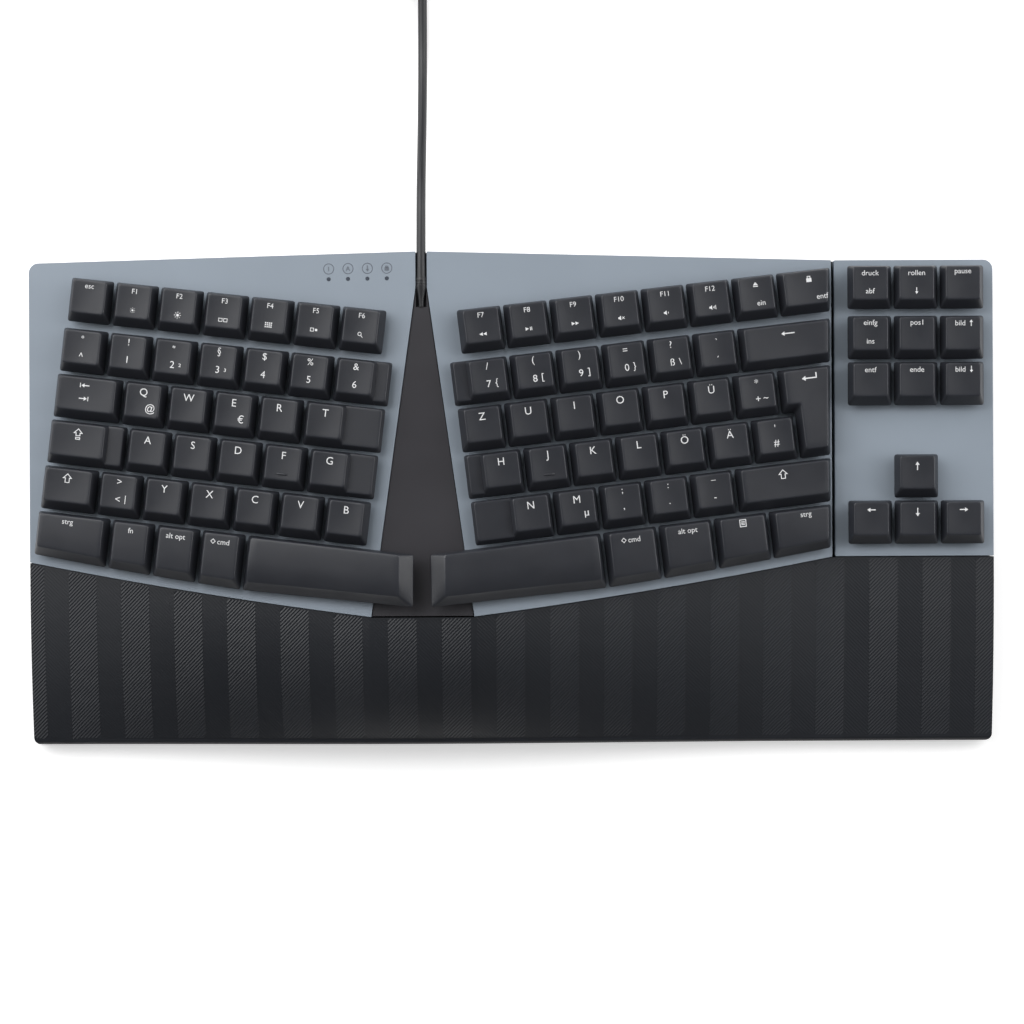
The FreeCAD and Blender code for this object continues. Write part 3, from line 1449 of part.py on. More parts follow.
os.makedirs("parts", exist_ok=True)
for item in finished:
    item.Shape.exportStep(f"parts/{item.Label}.step")
    print(f"{item.Label}: {len(item.Shape.Solids)} solids, {item.Shape.Volume:.0f} cubic millimetres")
print(f"{len(finished)} nodes")
print(f"footprint {2 * HALF_WIDTH:.2f} by {REAR + size('rear_crown') - FRONT:.2f}")
print(f"ridge {RIDGE:.2f} height {RIDGE_HEIGHT:.2f}, seam {SEAM:.2f} height {LEVEL_HEIGHT:.2f}")
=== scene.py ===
"""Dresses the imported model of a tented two-hand keyboard and lights it in a plain studio.

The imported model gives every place. This script gives the keycaps their dished tops and printed
signs, the shells their softened edges and textures, the cable its jacket and coil, and the camera.
"""

from __future__ import annotations

import json
import logging
import math
from collections.abc import Callable, Iterable, Sequence
from dataclasses import dataclass, field
from enum import Enum
from typing import ClassVar, NamedTuple

import bmesh
import bpy
from mathutils import Matrix, Vector
from mathutils.bvhtree import BVHTree

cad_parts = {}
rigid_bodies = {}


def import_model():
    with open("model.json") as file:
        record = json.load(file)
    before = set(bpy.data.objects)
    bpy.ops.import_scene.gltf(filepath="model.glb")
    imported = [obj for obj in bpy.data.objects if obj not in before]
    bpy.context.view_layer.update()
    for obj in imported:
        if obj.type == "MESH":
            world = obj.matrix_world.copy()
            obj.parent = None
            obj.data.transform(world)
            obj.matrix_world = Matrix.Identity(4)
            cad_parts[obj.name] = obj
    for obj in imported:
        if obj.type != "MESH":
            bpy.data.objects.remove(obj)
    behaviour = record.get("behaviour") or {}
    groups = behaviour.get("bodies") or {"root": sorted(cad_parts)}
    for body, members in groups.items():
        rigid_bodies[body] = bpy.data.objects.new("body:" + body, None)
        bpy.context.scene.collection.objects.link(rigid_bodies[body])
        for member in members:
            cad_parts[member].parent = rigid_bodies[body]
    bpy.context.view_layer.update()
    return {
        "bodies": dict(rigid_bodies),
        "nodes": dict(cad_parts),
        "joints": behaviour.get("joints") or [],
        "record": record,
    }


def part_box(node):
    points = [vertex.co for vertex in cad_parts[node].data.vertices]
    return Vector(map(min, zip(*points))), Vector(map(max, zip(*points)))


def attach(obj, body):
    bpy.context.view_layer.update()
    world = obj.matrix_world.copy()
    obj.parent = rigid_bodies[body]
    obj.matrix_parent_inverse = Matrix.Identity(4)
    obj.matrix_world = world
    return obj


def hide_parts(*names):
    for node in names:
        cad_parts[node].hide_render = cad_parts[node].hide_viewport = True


LOG = logging.getLogger("keyboard")
MM = 0.001
MERGE = 2e-6
KEYBOARD = "keyboard"
SIDES = ("left", "right")
WHITE = (1.0, 1.0, 1.0, 1.0)
CREASE = math.radians(40)
SLEEVE_CREASE = math.radians(35)

Colour = tuple[float, float, float, float]
Plan = list[Vector]
Socket = bpy.types.NodeSocket


def seen(red: int, green: int, blue: int) -> Colour:
    """Converts a colour from screen values to the linear values of a shader.

    Args:
        red, green, blue: The colour as a screen shows it, from 0 to 255.

    Returns:
        The linear colour with full alpha.
    """
    shares = (part / 255 for part in (red, green, blue))
    parts = [s / 12.92 if s <= 0.04045 else ((s + 0.055) / 1.055) ** 2.4 for s in shares]
    return (*parts, 1.0)


def scaled(colour: Colour, factor: float) -> Colour:
    """Returns a colour made lighter or darker by a factor."""
    return (*(min(part * factor, 1.0) for part in colour[:3]), 1.0)


class NodeTree:
    """A node tree in the making, with short calls for what its owners share."""

    tree: bpy.types.NodeTree

    def node(self, kind: str, **settings: object) -> bpy.types.Node:
        """Adds a node.

        Args:
            kind: The node's type.
            settings: Properties of the node and their values.

        Returns:
            The new node.
        """
        made = self.tree.nodes.new(kind)
        for name, value in settings.items():
            setattr(made, name, value)
        return made

    def put(self, socket: Socket, value: object) -> None:
        """Puts a value into a socket, or links another socket to it.

        Args:
            socket: The socket to fill.
            value: A number, a colour, a vector, a material or a socket.
        """
        if isinstance(value, Socket):
            self.tree.links.new(value, socket)
        else:
            socket.default_value = value

    def fill(self, node: bpy.types.Node, values: dict[str, object]) -> Socket:
        """Puts values or links into a node's inputs.

        Args:
            node: The node to fill.
            values: Input names with a value or a socket each.

        Returns:
            The node's first output.
        """
        for name, value in values.items():
            self.put(node.inputs[name], value)
        return node.outputs[0]

    def add(self, kind: str, values: dict[str, object], **settings: object) -> Socket:
        """Adds a node with its inputs and settings, and returns its first output."""
        return self.fill(self.node(kind, **settings), values)


class Bench(NodeTree):
    """A material in the making."""

    colour_inputs = (0, 6, 7)
    colour_output = 2

    def __init__(self, name: str) -> None:
        """Starts an empty material.

        Args:
            name: The material's name.
        """
        self.material = bpy.data.materials.new(name)
        self.material.use_nodes = True
        self.tree = self.material.node_tree
        self.tree.nodes.clear()
        self.shader = self.node("ShaderNodeBsdfPrincipled")
        output = self.node("ShaderNodeOutputMaterial")
        self.put(output.inputs["Surface"], self.shader.outputs["BSDF"])
        coordinates = self.node("ShaderNodeTexCoord")
        self.place, self.facing = coordinates.outputs["Object"], coordinates.outputs["Normal"]

    def math(self, operation: str, *terms: object) -> Socket:
        """Adds a math node.

        Args:
            operation: The operation's name.
            terms: Numbers or sockets, in the node's order.

        Returns:
            The result's socket.
        """
        made = self.node("ShaderNodeMath", operation=operation)
        for socket, term in zip(made.inputs, terms):
            self.put(socket, term)
        return made.outputs[0]

    def parts(self, vector: Socket) -> bpy.types.NodeOutputs:
        """Splits a vector into its X, Y and Z."""
        return self.add("ShaderNodeSeparateXYZ", {"Vector": vector}).node.outputs

    def noise(self, size: float, detail: float) -> Socket:
        """Adds noise over the object's own space.

        Args:
            size: The size of its patches in metres.
            detail: How fine it is inside a patch.

        Returns:
            The noise from 0 to 1.
        """
        values = {"Vector": self.place, "Scale": 1.0 / size, "Detail": detail}
        return self.add("ShaderNodeTexNoise", values)

    def remap(self, value: Socket, low: float, high: float) -> Socket:
        """Spreads the middle of a noise over a range.

        Args:
            value: The noise.
            low, high: The range's ends.

        Returns:
            The spread value.
        """
        limits = {"From Min": 0.3, "From Max": 0.7, "To Min": low, "To Max": high}
        return self.add("ShaderNodeMapRange", {"Value": value, **limits})

    def blend(self, share: Socket, first: object, last: object) -> Socket:
        """Mixes two colours.

        Args:
            share: How much of the last colour there is.
            first, last: Colours or colour sockets.

        Returns:
            The mixed colour.
        """
        made = self.node("ShaderNodeMix", data_type="RGBA")
        for number, value in zip(self.colour_inputs, (share, first, last)):
            self.put(made.inputs[number], value)
        return made.outputs[self.colour_output]

    def bump(self, height: Socket, depth: float) -> None:
        """Roughens the surface.

        Args:
            height: The relief from 0 to 1.
            depth: The relief's depth in metres.
        """
        values = {"Height": height, "Distance": depth, "Strength": 1.0}
        self.put(self.shader.inputs["Normal"], self.add("ShaderNodeBump", values))


@dataclass(frozen=True)
class Finish:
    """What a surface is made of."""

    name: str
    colour: Colour

    def dress(self, bench: Bench) -> None:
        """Sets a material's shader up.

        Args:
            bench: The material in the making.
        """
        raise NotImplementedError

    def make(self) -> bpy.types.Material:
        """Builds the material.

        Returns:
            The finished material.
        """
        bench = Bench(self.name)
        self.dress(bench)
        return bench.material


@dataclass(frozen=True)
class MouldedPlastic(Finish):
    """A moulded plastic with a fine grain, uneven gloss and shine where it is touched."""

    roughness: float
    mottle: float = 0.10
    patch: float = 0.018
    grain: float = 0.000012
    grain_size: float = 0.0005
    specular: float = 0.5
    worn: float = 0.0
    worn_light: float = 2.2
    worn_gloss: float = 0.35
    unevenness: float = 0.06

    def colours(self, bench: Bench) -> Socket:
        """Mixes the plastic's colour, a little uneven over patches.

        Args:
            bench: The material in the making.

        Returns:
            The colour's socket.
        """
        share = bench.remap(bench.noise(self.patch, 4.0), 0.0, 1.0)
        dark, light = scaled(self.colour, 1 - self.mottle), scaled(self.colour, 1 + self.mottle)
        return bench.blend(share, dark, light)

    def dress(self, bench: Bench) -> None:
        """Gives the plastic its colour, gloss, wear and grain.

        Args:
            bench: The material in the making.
        """
        colour = self.colours(bench)
        low, high = self.roughness - self.unevenness, self.roughness + self.unevenness
        roughness = bench.remap(bench.noise(self.patch * 1.7, 5.0), low, high)
        if self.worn:
            wear = bench.node("ShaderNodeAttribute", attribute_name="wear").outputs["Fac"]
            share = bench.math("MULTIPLY", wear, self.worn)
            colour = bench.blend(share, colour, scaled(self.colour, self.worn_light))
            gain = bench.math("MULTIPLY", share, self.worn_gloss)
            roughness = bench.math("SUBTRACT", roughness, gain)
        values = {"Base Color": colour, "Roughness": roughness}
        bench.fill(bench.shader, values | {"Specular IOR Level": self.specular})
        bench.bump(bench.noise(self.grain_size, 3.0), self.grain)


class Band(NamedTuple):
    """A band of ribs that slant one way: its sides, its slant and its ribs' height."""

    left: float
    right: float
    slant: int
    height: float


@dataclass(frozen=True)
class HerringbonePlastic(MouldedPlastic):
    """A plastic whose top carries painted light along fine slanting ribs, whose slant changes from
    band to band.
    """

    pair: float = 22.08 * MM
    start: float = 6.66 * MM
    share: float = 0.53
    pitch: float = 1.55 * MM
    depth: float = 0.18 * MM
    faint: float = 0.25
    upright: float = 0.7
    crest_painted_light_share: float = 0.45
    crest_painted_light: float = 1.9

    def ribs(self, bench: Bench) -> Socket:
        """Draws the ribs' height, which sets their painted light: fainter on every second band and
        only on faces that look upwards.

        Args:
            bench: The material in the making.

        Returns:
            The ribs' height from 0 to 1.
        """
        across, along, _ = bench.parts(bench.place)
        pairs = bench.math("DIVIDE", bench.math("ADD", across, self.start), self.pair)
        odd = bench.math("GREATER_THAN", bench.math("FRACT", pairs), self.share)
        sign = bench.math("SUBTRACT", 1.0, bench.math("MULTIPLY", odd, 2.0))
        slant = bench.math("SUBTRACT", along, bench.math("MULTIPLY", across, sign))
        turns = bench.math("DIVIDE", slant, self.pitch)
        wave = bench.math("MULTIPLY", bench.math("PINGPONG", turns, 0.5), 2.0)
        loss = bench.math("MULTIPLY", odd, 1.0 - self.faint)
        height = bench.math("MULTIPLY", wave, bench.math("SUBTRACT", 1.0, loss))
        _, _, facing = bench.parts(bench.facing)
        top = bench.math("GREATER_THAN", facing, self.upright)
        return bench.math("MULTIPLY", height, top)

    def colours(self, bench: Bench) -> Socket:
        """Mixes the colour with painted light on the ribs' backs.

        Args:
            bench: The material in the making.

        Returns:
            The colour's socket.
        """
        base = MouldedPlastic.colours(self, bench)
        # Painted light: the rib crests are lightened as if lit.
        share = bench.math("MULTIPLY", self.ribs(bench), self.crest_painted_light_share)
        return bench.blend(share, base, scaled(self.colour, self.crest_painted_light))

    def bands(self, start: float, stop: float) -> Iterable[Band]:
        """Lists the bands between two places across the width.

        Args:
            start, stop: The places.

        Yields:
            The bands from left to right.
        """
        first = math.floor((start + self.start) / self.pair)
        for number in range(first, math.ceil((stop + self.start) / self.pair) + 1):
            left = number * self.pair - self.start
            middle = left + self.share * self.pair
            yield Band(max(left, start), min(middle, stop), 1, self.depth)
            right = left + self.pair
            yield Band(max(middle, start), min(right, stop), -1, self.depth * self.faint)


@dataclass(frozen=True)
class Metal(Finish):
    """A plated or brushed metal with fine scratches along one direction."""

    roughness: float
    shinier: float = 0.05
    duller: float = 0.08
    scratch: float = 0.004 * MM
    stretch: tuple[float, float, float] = (40.0, 2000.0, 2000.0)

    def dress(self, bench: Bench) -> None:
        """Gives the metal its streaks.

        Args:
            bench: The material in the making.
        """
        place = bench.add("ShaderNodeMapping", {"Vector": bench.place, "Scale": self.stretch})
        values = {"Vector": place, "Scale": 1.0, "Detail": 2.0}
        streaks = bench.add("ShaderNodeTexNoise", values)
        low, high = self.roughness - self.shinier, self.roughness + self.duller
        tone = bench.remap(streaks, low, high)
        values = {"Base Color": self.colour, "Roughness": tone, "Metallic": 1.0}
        bench.fill(bench.shader, values)
        bench.bump(streaks, self.scratch)


@dataclass(frozen=True)
class CircuitLacquer(Finish):
    """Green solder resist over a fine net of copper tracks."""

    track: float = 2.5 * MM
    line: float = 0.08
    line_light: float = 1.8
    roughness: float = 0.32
    relief: float = 0.03 * MM

    def dress(self, bench: Bench) -> None:
        """Draws the tracks.

        Args:
            bench: The material in the making.
        """
        net = bench.node("ShaderNodeTexBrick")
        values = {"Vector": bench.place, "Color1": self.colour, "Color2": self.colour}
        lines = {"Mortar Size": self.line, "Scale": 1.0 / (4 * self.track)}
        copper = {"Mortar": scaled(self.colour, self.line_light)}
        colour = bench.fill(net, values | lines | copper)
        bench.fill(bench.shader, {"Base Color": colour, "Roughness": self.roughness})
        bench.bump(net.outputs["Fac"], self.relief)


@dataclass(frozen=True)
class WovenStrap(Finish):
    """A woven strap: crossing threads in two directions."""

    thread: float = 0.7 * MM
    dark: float = 0.6
    light: float = 1.7
    roughness: float = 0.85
    relief: float = 0.12 * MM

    def dress(self, bench: Bench) -> None:
        """Weaves the threads.

        Args:
            bench: The material in the making.
        """
        step = math.pi / self.thread
        waves = [
            bench.math("ABSOLUTE", bench.math("SINE", bench.math("MULTIPLY", part, step)))
            for part in bench.parts(bench.place)[:2]
        ]
        weave = bench.math("MULTIPLY", *waves)
        dark, light = scaled(self.colour, self.dark), scaled(self.colour, self.light)
        colour = bench.blend(weave, dark, light)
        bench.fill(bench.shader, {"Base Color": colour, "Roughness": self.roughness})
        bench.bump(weave, self.relief)


@dataclass(frozen=True)
class SmokedWindow(Finish):
    """A dark clear plastic, such as an unlit indicator."""

    patch: float = 0.8 * MM
    mottle: float = 0.2
    roughness: float = 0.18
    coat: float = 0.6

    def dress(self, bench: Bench) -> None:
        """Gives the plastic its depth and gloss.

        Args:
            bench: The material in the making.
        """
        share = bench.remap(bench.noise(self.patch, 3.0), 0.0, 1.0)
        dark, light = scaled(self.colour, 1 - self.mottle), scaled(self.colour, 1 + self.mottle)
        colour = bench.blend(share, dark, light)
        values = {"Base Color": colour, "Roughness": self.roughness, "Coat Weight": self.coat}
        bench.fill(bench.shader, values)


@dataclass(frozen=True)
class PaleFloor(Finish):
    """A white paper floor that looks white in the picture and keeps its soft shadows."""

    lift: float
    roughness: float = 0.9

    def dress(self, bench: Bench) -> None:
        """Lifts what the camera sees of the floor, straight or in a reflection.

        Args:
            bench: The material in the making.
        """
        rays = bench.node("ShaderNodeLightPath").outputs
        watched = rays["Is Camera Ray"]
        for kind in ("Glossy", "Transmission"):
            watched = bench.math("MAXIMUM", watched, rays[f"Is {kind} Ray"])
        glow = bench.math("MULTIPLY", watched, self.lift)
        values = {"Base Color": self.colour, "Roughness": self.roughness}
        white = {"Emission Color": WHITE, "Emission Strength": glow}
        bench.fill(bench.shader, values | {"Specular IOR Level": 0.0} | white)


FLOOR = PaleFloor("floor_paper", (0.93, 0.93, 0.93, 1.0), 0.45)
# The keycaps are one dark plastic in two copies: the tops keep its colour, and the darker, duller
# copy after it is painted shade on the skirts, the roofs and the posts.
CAP_TOP = MouldedPlastic(
    "cap_top", seen(39, 41, 47), 0.44, mottle=0.07, patch=0.009, grain_size=0.00035, worn=0.2
)
CAP_SIDE_PAINTED_SHADE = MouldedPlastic("cap_side_painted_shade", seen(9, 9, 11), 0.42, grain_size=0.00035, specular=0.05)
SIGN_PAINT = MouldedPlastic("sign_paint", seen(226, 227, 228), 0.5, mottle=0.03, grain=0.000003)
DECK = MouldedPlastic(
    "deck_plastic", seen(143, 153, 164), 0.5, mottle=0.035, patch=0.05, grain=0.000006, specular=0.3
)
SPINE = MouldedPlastic("spine_plastic", seen(53, 52, 56), 0.44, mottle=0.08, patch=0.03)
# The palm rest's plastic, with painted light along its ribs.
PALM = HerringbonePlastic("palm_plastic", seen(21, 24, 30), 0.50, mottle=0.08, patch=0.05)
CASE = MouldedPlastic("case_plastic", seen(28, 29, 32), 0.55, grain=0.00003, grain_size=0.0007)
SWITCH = MouldedPlastic("switch_plastic", seen(24, 24, 27), 0.5)
CHIP = MouldedPlastic("chip_plastic", seen(28, 28, 30), 0.6, grain=0.00002)
RUBBER = MouldedPlastic("foot_rubber", seen(32, 32, 34), 0.85, grain=0.00004, specular=0.3)
JACKET = MouldedPlastic(
    "cable_jacket", seen(38, 39, 42), 0.42, patch=0.012, grain=0.000008, grain_size=0.0003
)
PLUG = MouldedPlastic("plug_plastic", seen(36, 36, 39), 0.5, grain=0.00002)
TONGUE = MouldedPlastic("tongue_plastic", seen(196, 198, 202), 0.45)
MARK_PAINT = MouldedPlastic("mark_paint", seen(98, 104, 114), 0.5, mottle=0.03, grain=0.000003)
WINDOW = SmokedWindow("indicator_window", seen(70, 76, 86))
STEEL = Metal("screw_steel", (0.46, 0.46, 0.47, 1.0), 0.30)
NICKEL = Metal("plug_nickel", (0.72, 0.72, 0.73, 1.0), 0.20)
GOLD = Metal("contact_gold", (0.85, 0.62, 0.28, 1.0), 0.22)
LACQUER = CircuitLacquer("board_lacquer", seen(22, 84, 52))
STRAP = WovenStrap("tie_strap", seen(34, 34, 37))


class Paints:
    """The materials already built, one for each finish."""

    built: dict[str, bpy.types.Material] = {}

    @classmethod
    def of(cls, finish: Finish) -> bpy.types.Material:
        """Returns the material of a finish, built when it is first asked for.

        Args:
            finish: The finish.

        Returns:
            Its material.
        """
        if finish.name not in cls.built:
            cls.built[finish.name] = finish.make()
        return cls.built[finish.name]


def paint(surface: bpy.types.Mesh | bpy.types.Curve, *finishes: Finish) -> None:
    """Gives a surface its finishes.

    Args:
        surface: A mesh or a curve.
        finishes: Its finishes, in the order of its material numbers.
    """
    surface.materials.clear()
    for finish in finishes:
        surface.materials.append(Paints.of(finish))


def plain_mesh(name: str, points: list[Vector], faces: list[tuple[int, ...]]) -> bpy.types.Mesh:
    """Builds a mesh of points and faces.

    Args:
        name: The mesh's name.
        points: Its points.
        faces: The numbers of each face's points.

    Returns:
        The mesh.
    """
    mesh = bpy.data.meshes.new(name)
    mesh.from_pydata(points, [], faces)
    return mesh


def new_piece(name: str, mesh: bpy.types.Mesh, *finishes: Finish) -> bpy.types.Object:
    """Puts a mesh into the scene as a piece.

    Args:
        name: The piece's name.
        mesh: Its mesh, in place.
        finishes: Its finishes, in the order of the mesh's material numbers.

    Returns:
        The new object.
    """
    paint(mesh, *finishes)
    piece = bpy.data.objects.new(name, mesh)
    bpy.context.scene.collection.objects.link(piece)
    return piece


def settle(
    piece: bpy.types.Object, body: str, replaced: Sequence[str] = ()
) -> bpy.types.Object:
    """Ties a piece to its body and the nodes it stands for.

    Args:
        piece: The piece.
        body: The body that it moves with.
        replaced: The CAD nodes that it stands for.

    Returns:
        The same piece.
    """
    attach(piece, body)
    if replaced:
        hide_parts(*replaced)
    LOG.info("piece %s with %d faces", piece.name, len(piece.data.polygons))
    return piece


class Crown(Enum):
    """The form of a keycap's top."""

    DISHED = "hollow from side to side"
    BARREL = "a little rounded from front to rear"
    ROLLED = "rounded from front to rear, down over its front edge"
    BOWL = "hollow towards its middle"


Outline = list[tuple[float, float]]


def bar(x: float, y: float, width: float, depth: float) -> Outline:
    """Returns a rectangle around a point."""
    left, right, low, high = x - width / 2, x + width / 2, y - depth / 2, y + depth / 2
    return [(left, low), (right, low), (right, high), (left, high)]


def box(x: float, y: float, width: float, depth: float, line: float = 0.13) -> list[Outline]:
    """Returns a rectangle's frame as four bars."""
    ends = [bar(x, y + way * (depth - line) / 2, width, line) for way in (1, -1)]
    return ends + [bar(x + way * (width - line) / 2, y, line, depth - 2 * line) for way in (-1, 1)]


def turned(outline: Outline, degrees: float, x: float = 0.0, y: float = 0.0) -> Outline:
    """Returns an outline turned about its origin and then moved."""
    cosine, sine = math.cos(math.radians(degrees)), math.sin(math.radians(degrees))
    return [(x + a * cosine - b * sine, y + a * sine + b * cosine) for a, b in outline]


def disc(x: float, y: float, radius: float, sides: int = 14) -> Outline:
    """Returns a round spot."""
    return [turned([(radius, 0.0)], 360 * i / sides, x, y)[0] for i in range(sides)]


def hoop(x: float, y: float, radius: float, line: float = 0.13, sides: int = 16) -> list[Outline]:
    """Returns a round ring as short pieces."""
    piece = bar(radius, 0.0, line, 2 * radius * math.tan(math.radians(180 / sides)))
    return [turned(piece, 360 * i / sides, x, y) for i in range(sides)]


def arrow(degrees: float, length: float = 1.3, x: float = 0.0) -> Outline:
    """Draws an arrow.

    Args:
        degrees: The direction it points along, from the right counter-clockwise.
        length: Its length.
        x: How far its middle lies across.

    Returns:
        Its outline.
    """
    tip, neck, line, head = length / 2, length / 2 - 0.5, 0.08, 0.33
    upper = [(-tip, line), (neck, line), (neck, head), (tip, 0.0)]
    lower = [(a, -b) for a, b in reversed(upper[:-1])]
    return turned(list(reversed(upper + lower)), degrees, x)


def wedge(degrees: float, x: float, size: float = 0.75) -> Outline:
    """Returns a triangle that points along a direction."""
    return turned([(-size / 2, -size / 2), (size / 2, 0.0), (-size / 2, size / 2)], degrees, x)


def rays(distance: float, length: float) -> list[Outline]:
    """Returns the rays around a small sun."""
    return [turned(bar(distance, 0.0, length, 0.13), 45 * i) for i in range(8)]


SPEAKER = [bar(-0.5, 0.0, 0.25, 0.4), [(-0.38, -0.2), (0.0, -0.5), (0.0, 0.5), (-0.38, 0.2)]]


class Icon(Enum):
    """The printed pictures, as outlines in heights of a capital letter."""

    RIGHT = [arrow(0)]
    UP = [arrow(90)]
    LEFT = [arrow(180)]
    DOWN = [arrow(270)]
    TAB_LEFT = [arrow(180, x=0.1), bar(-0.72, 0.0, 0.13, 0.7)]
    TAB_RIGHT = [arrow(0, x=-0.1), bar(0.72, 0.0, 0.13, 0.7)]
    BACK = [arrow(180, 2.0)]
    RETURN = [arrow(180, 2.0), bar(0.93, 0.37, 0.16, 0.58)]
    DIM = [disc(0, 0, 0.22), *rays(0.5, 0.12)]
    BRIGHT = [disc(0, 0, 0.3), *rays(0.62, 0.26)]
    WINDOWS = [*box(-0.55, 0, 0.9, 0.8), *box(0.55, 0, 0.9, 0.8)]
    GRID = [bar(0.42 * i, 0.42 * j, 0.28, 0.28) for i in (-1.5, -0.5, 0.5, 1.5) for j in (-1, 0, 1)]
    MOVE = [*box(-0.45, 0, 0.8, 0.8), bar(0.45, 0.0, 0.5, 0.5)]
    SEARCH = [*hoop(-0.1, 0.15, 0.36), turned(bar(0.72, 0.0, 0.5, 0.15), -45, -0.1, 0.15)]
    BACKWARD = [wedge(180, -0.42), wedge(180, 0.42)]
    PLAY = [wedge(0, -0.42), bar(0.25, 0.0, 0.16, 0.75), bar(0.55, 0.0, 0.16, 0.75)]
    FORWARD = [wedge(0, -0.42), wedge(0, 0.42)]
    SILENT = [*SPEAKER, *[turned(bar(0, 0, 0.7, 0.12), turn, 0.5) for turn in (45, -45)]]
    SOFTER = [*SPEAKER, bar(0.35, 0.0, 0.12, 0.35)]
    LOUDER = [*SPEAKER, *[bar(x, 0, 0.12, y) for x, y in ((0.3, 0.35), (0.55, 0.65), (0.8, 0.95))]]
    EJECT = [bar(0.0, -0.42, 1.0, 0.16), [(-0.5, -0.2), (0.5, -0.2), (0.0, 0.45)]]
    LOCK = [bar(0.0, -0.2, 0.9, 0.65), *box(0.0, 0.25, 0.6, 0.5)]
    MENU = [*box(0, 0, 1.1, 1.2), *[bar(0, y, 0.6, 0.12) for y in (0.22, 0, -0.22)]]
    DIAMOND = [turned(side, 45) for side in box(0, 0, 0.75, 0.75)]


@dataclass(frozen=True)
class Sign:
    """One printed sign, placed from the middle of a keycap's top."""

    mark: str | Icon
    rear: float = 0.0
    across: float = 0.0
    height: float = 3.0


Signs = tuple[Sign, ...]


def letters(row: str, **small: str) -> list[Signs]:
    """Returns the letters of a row of keys, some with a small sign at the front right.

    Args:
        row: The letters.
        small: The small signs by letter.

    Returns:
        The signs of each key.
    """
    third = {key: (Sign(text, rear=-3.1, across=3.4, height=3.0),) for key, text in small.items()}
    return [(Sign(text, rear=3.3), *third.get(text, ())) for text in row]


def pairs(*keys: str) -> list[Signs]:
    """Returns two signs one above the other for each key, and any third beside the lower one.

    Args:
        keys: The signs of each key: the upper, the lower and the one beside it.

    Returns:
        The signs of each key.
    """
    found = []
    for upper, lower, *more in keys:
        signs = [Sign(upper, rear=4.2, height=2.7), Sign(lower, rear=-3.0, height=2.8)]
        signs += [Sign(text, rear=-3.0, across=3.2, height=2.6) for text in more]
        found.append(tuple(signs))
    return found


def functions(first: int, *icons: Icon) -> list[Signs]:
    """Returns the names of function keys with the small pictures of their second uses."""
    marks = ((f"F{number}", icon) for number, icon in enumerate(icons, first))
    return [(Sign(name, 4.3, 0.0, 2.0), Sign(icon, -3.5, 0.0, 1.9)) for name, icon in marks]


def word(mark: str | Icon, rear: float = 4.2, across: float = 0.0) -> Sign:
    """Returns a small word or picture."""
    return Sign(mark, rear, across, 2.1)


LEGENDS: dict[str, list[Signs]] = {
    "key_escape": [(word("esc"),)],
    "keys_function_left": functions(
        1, Icon.DIM, Icon.BRIGHT, Icon.WINDOWS, Icon.GRID, Icon.MOVE, Icon.SEARCH
    ),
    "keys_number_left": pairs("°^", "!1", '"2²', "§3³", "$4", "%5", "&6"),
    "key_tab": [(Sign(Icon.TAB_LEFT, 3.6, -0.9, 2.6), Sign(Icon.TAB_RIGHT, -1.8, -0.9, 2.6))],
    "keys_upper_left": letters("QWERT", Q="@", E="€"),
    "key_caps_lock": [(Sign("⇪", rear=2.6, height=3.4),)],
    "keys_home_left": letters("ASDFG"),
    "key_shift_left": [(Sign("⇧", 3.2, -0.4, 3.4),)],
    "keys_lower_left": [*pairs("><|"), *letters("YXCVB")],
    "key_control_left": [(word("strg", 4.5, -1.4),)],
    "key_fn": [(word("fn", 5.2),)],
    "key_option_left": [(word("alt opt", 5.2),)],
    "key_command_left": [(word(Icon.DIAMOND, 5.7, -3.3), word("cmd", 5.7, 1.0))],
    "key_space_left": [()],
    "keys_function_right": [
        *functions(
            7, Icon.BACKWARD, Icon.PLAY, Icon.FORWARD, Icon.SILENT, Icon.SOFTER, Icon.LOUDER
        ),
        (word(Icon.EJECT, 3.9), word("ein", -3.9, 1.6)),
    ],
    "key_delete": [(Sign(Icon.LOCK, 3.6, 1.5, 2.4), word("entf", -3.9, 6.4))],
    "keys_number_right": pairs("/7{", "(8[", ")9]", "=0}", "?ß\\", "`´"),
    "key_backspace": [(Sign(Icon.BACK, 3.2, 0.8, 2.8),)],
    "keys_upper_right": [*letters("ZUIOPÜ"), *pairs("*+~")],
    "key_enter": [(Sign(Icon.RETURN, 3.0, -1.8, 3.2),)],
    "keys_home_right": [*letters("HJKLÖÄ"), *pairs("'#")],
    "keys_lower_right": [*letters("NM", M="µ"), *pairs(";,", ":.", "_-")],
    "key_shift_right": [(Sign("⇧", 3.2, -0.8, 3.4),)],
    "key_space_right": [()],
    "key_command_right": [(word(Icon.DIAMOND, 5.5, -3.6), word("cmd", 5.5, 0.7))],
    "key_option_right": [(word("alt opt", 5.5),)],
    "key_menu": [(Sign(Icon.MENU, rear=5.4, height=2.6),)],
    "key_control_right": [(word("strg", 4.6, 1.7),)],
    "keys_navigation_rear": [
        (word("druck"), word("abf", -3.2)),
        (word("rollen"), word(Icon.DOWN, -3.2)),
        (word("pause"),),
    ],
    "keys_navigation_middle": [
        (word("einfg"), word("ins", -3.2)),
        (word("pos1"),),
        (word("bild", 4.2, -1.2), word(Icon.UP, 4.2, 3.3)),
    ],
    "keys_navigation_front": [
        (word("entf"),),
        (word("ende"),),
        (word("bild", 4.2, -1.2), word(Icon.DOWN, 4.2, 3.3)),
    ],
    "key_arrow_up": [(Sign(Icon.UP, rear=2.6, height=2.7),)],
    "key_arrow_left": [(Sign(Icon.LEFT, rear=3.6, height=2.7),)],
    "key_arrow_down": [(Sign(Icon.DOWN, rear=2.6, height=2.7),)],
    "key_arrow_right": [(Sign(Icon.RIGHT, rear=3.6, height=2.7),)],
}

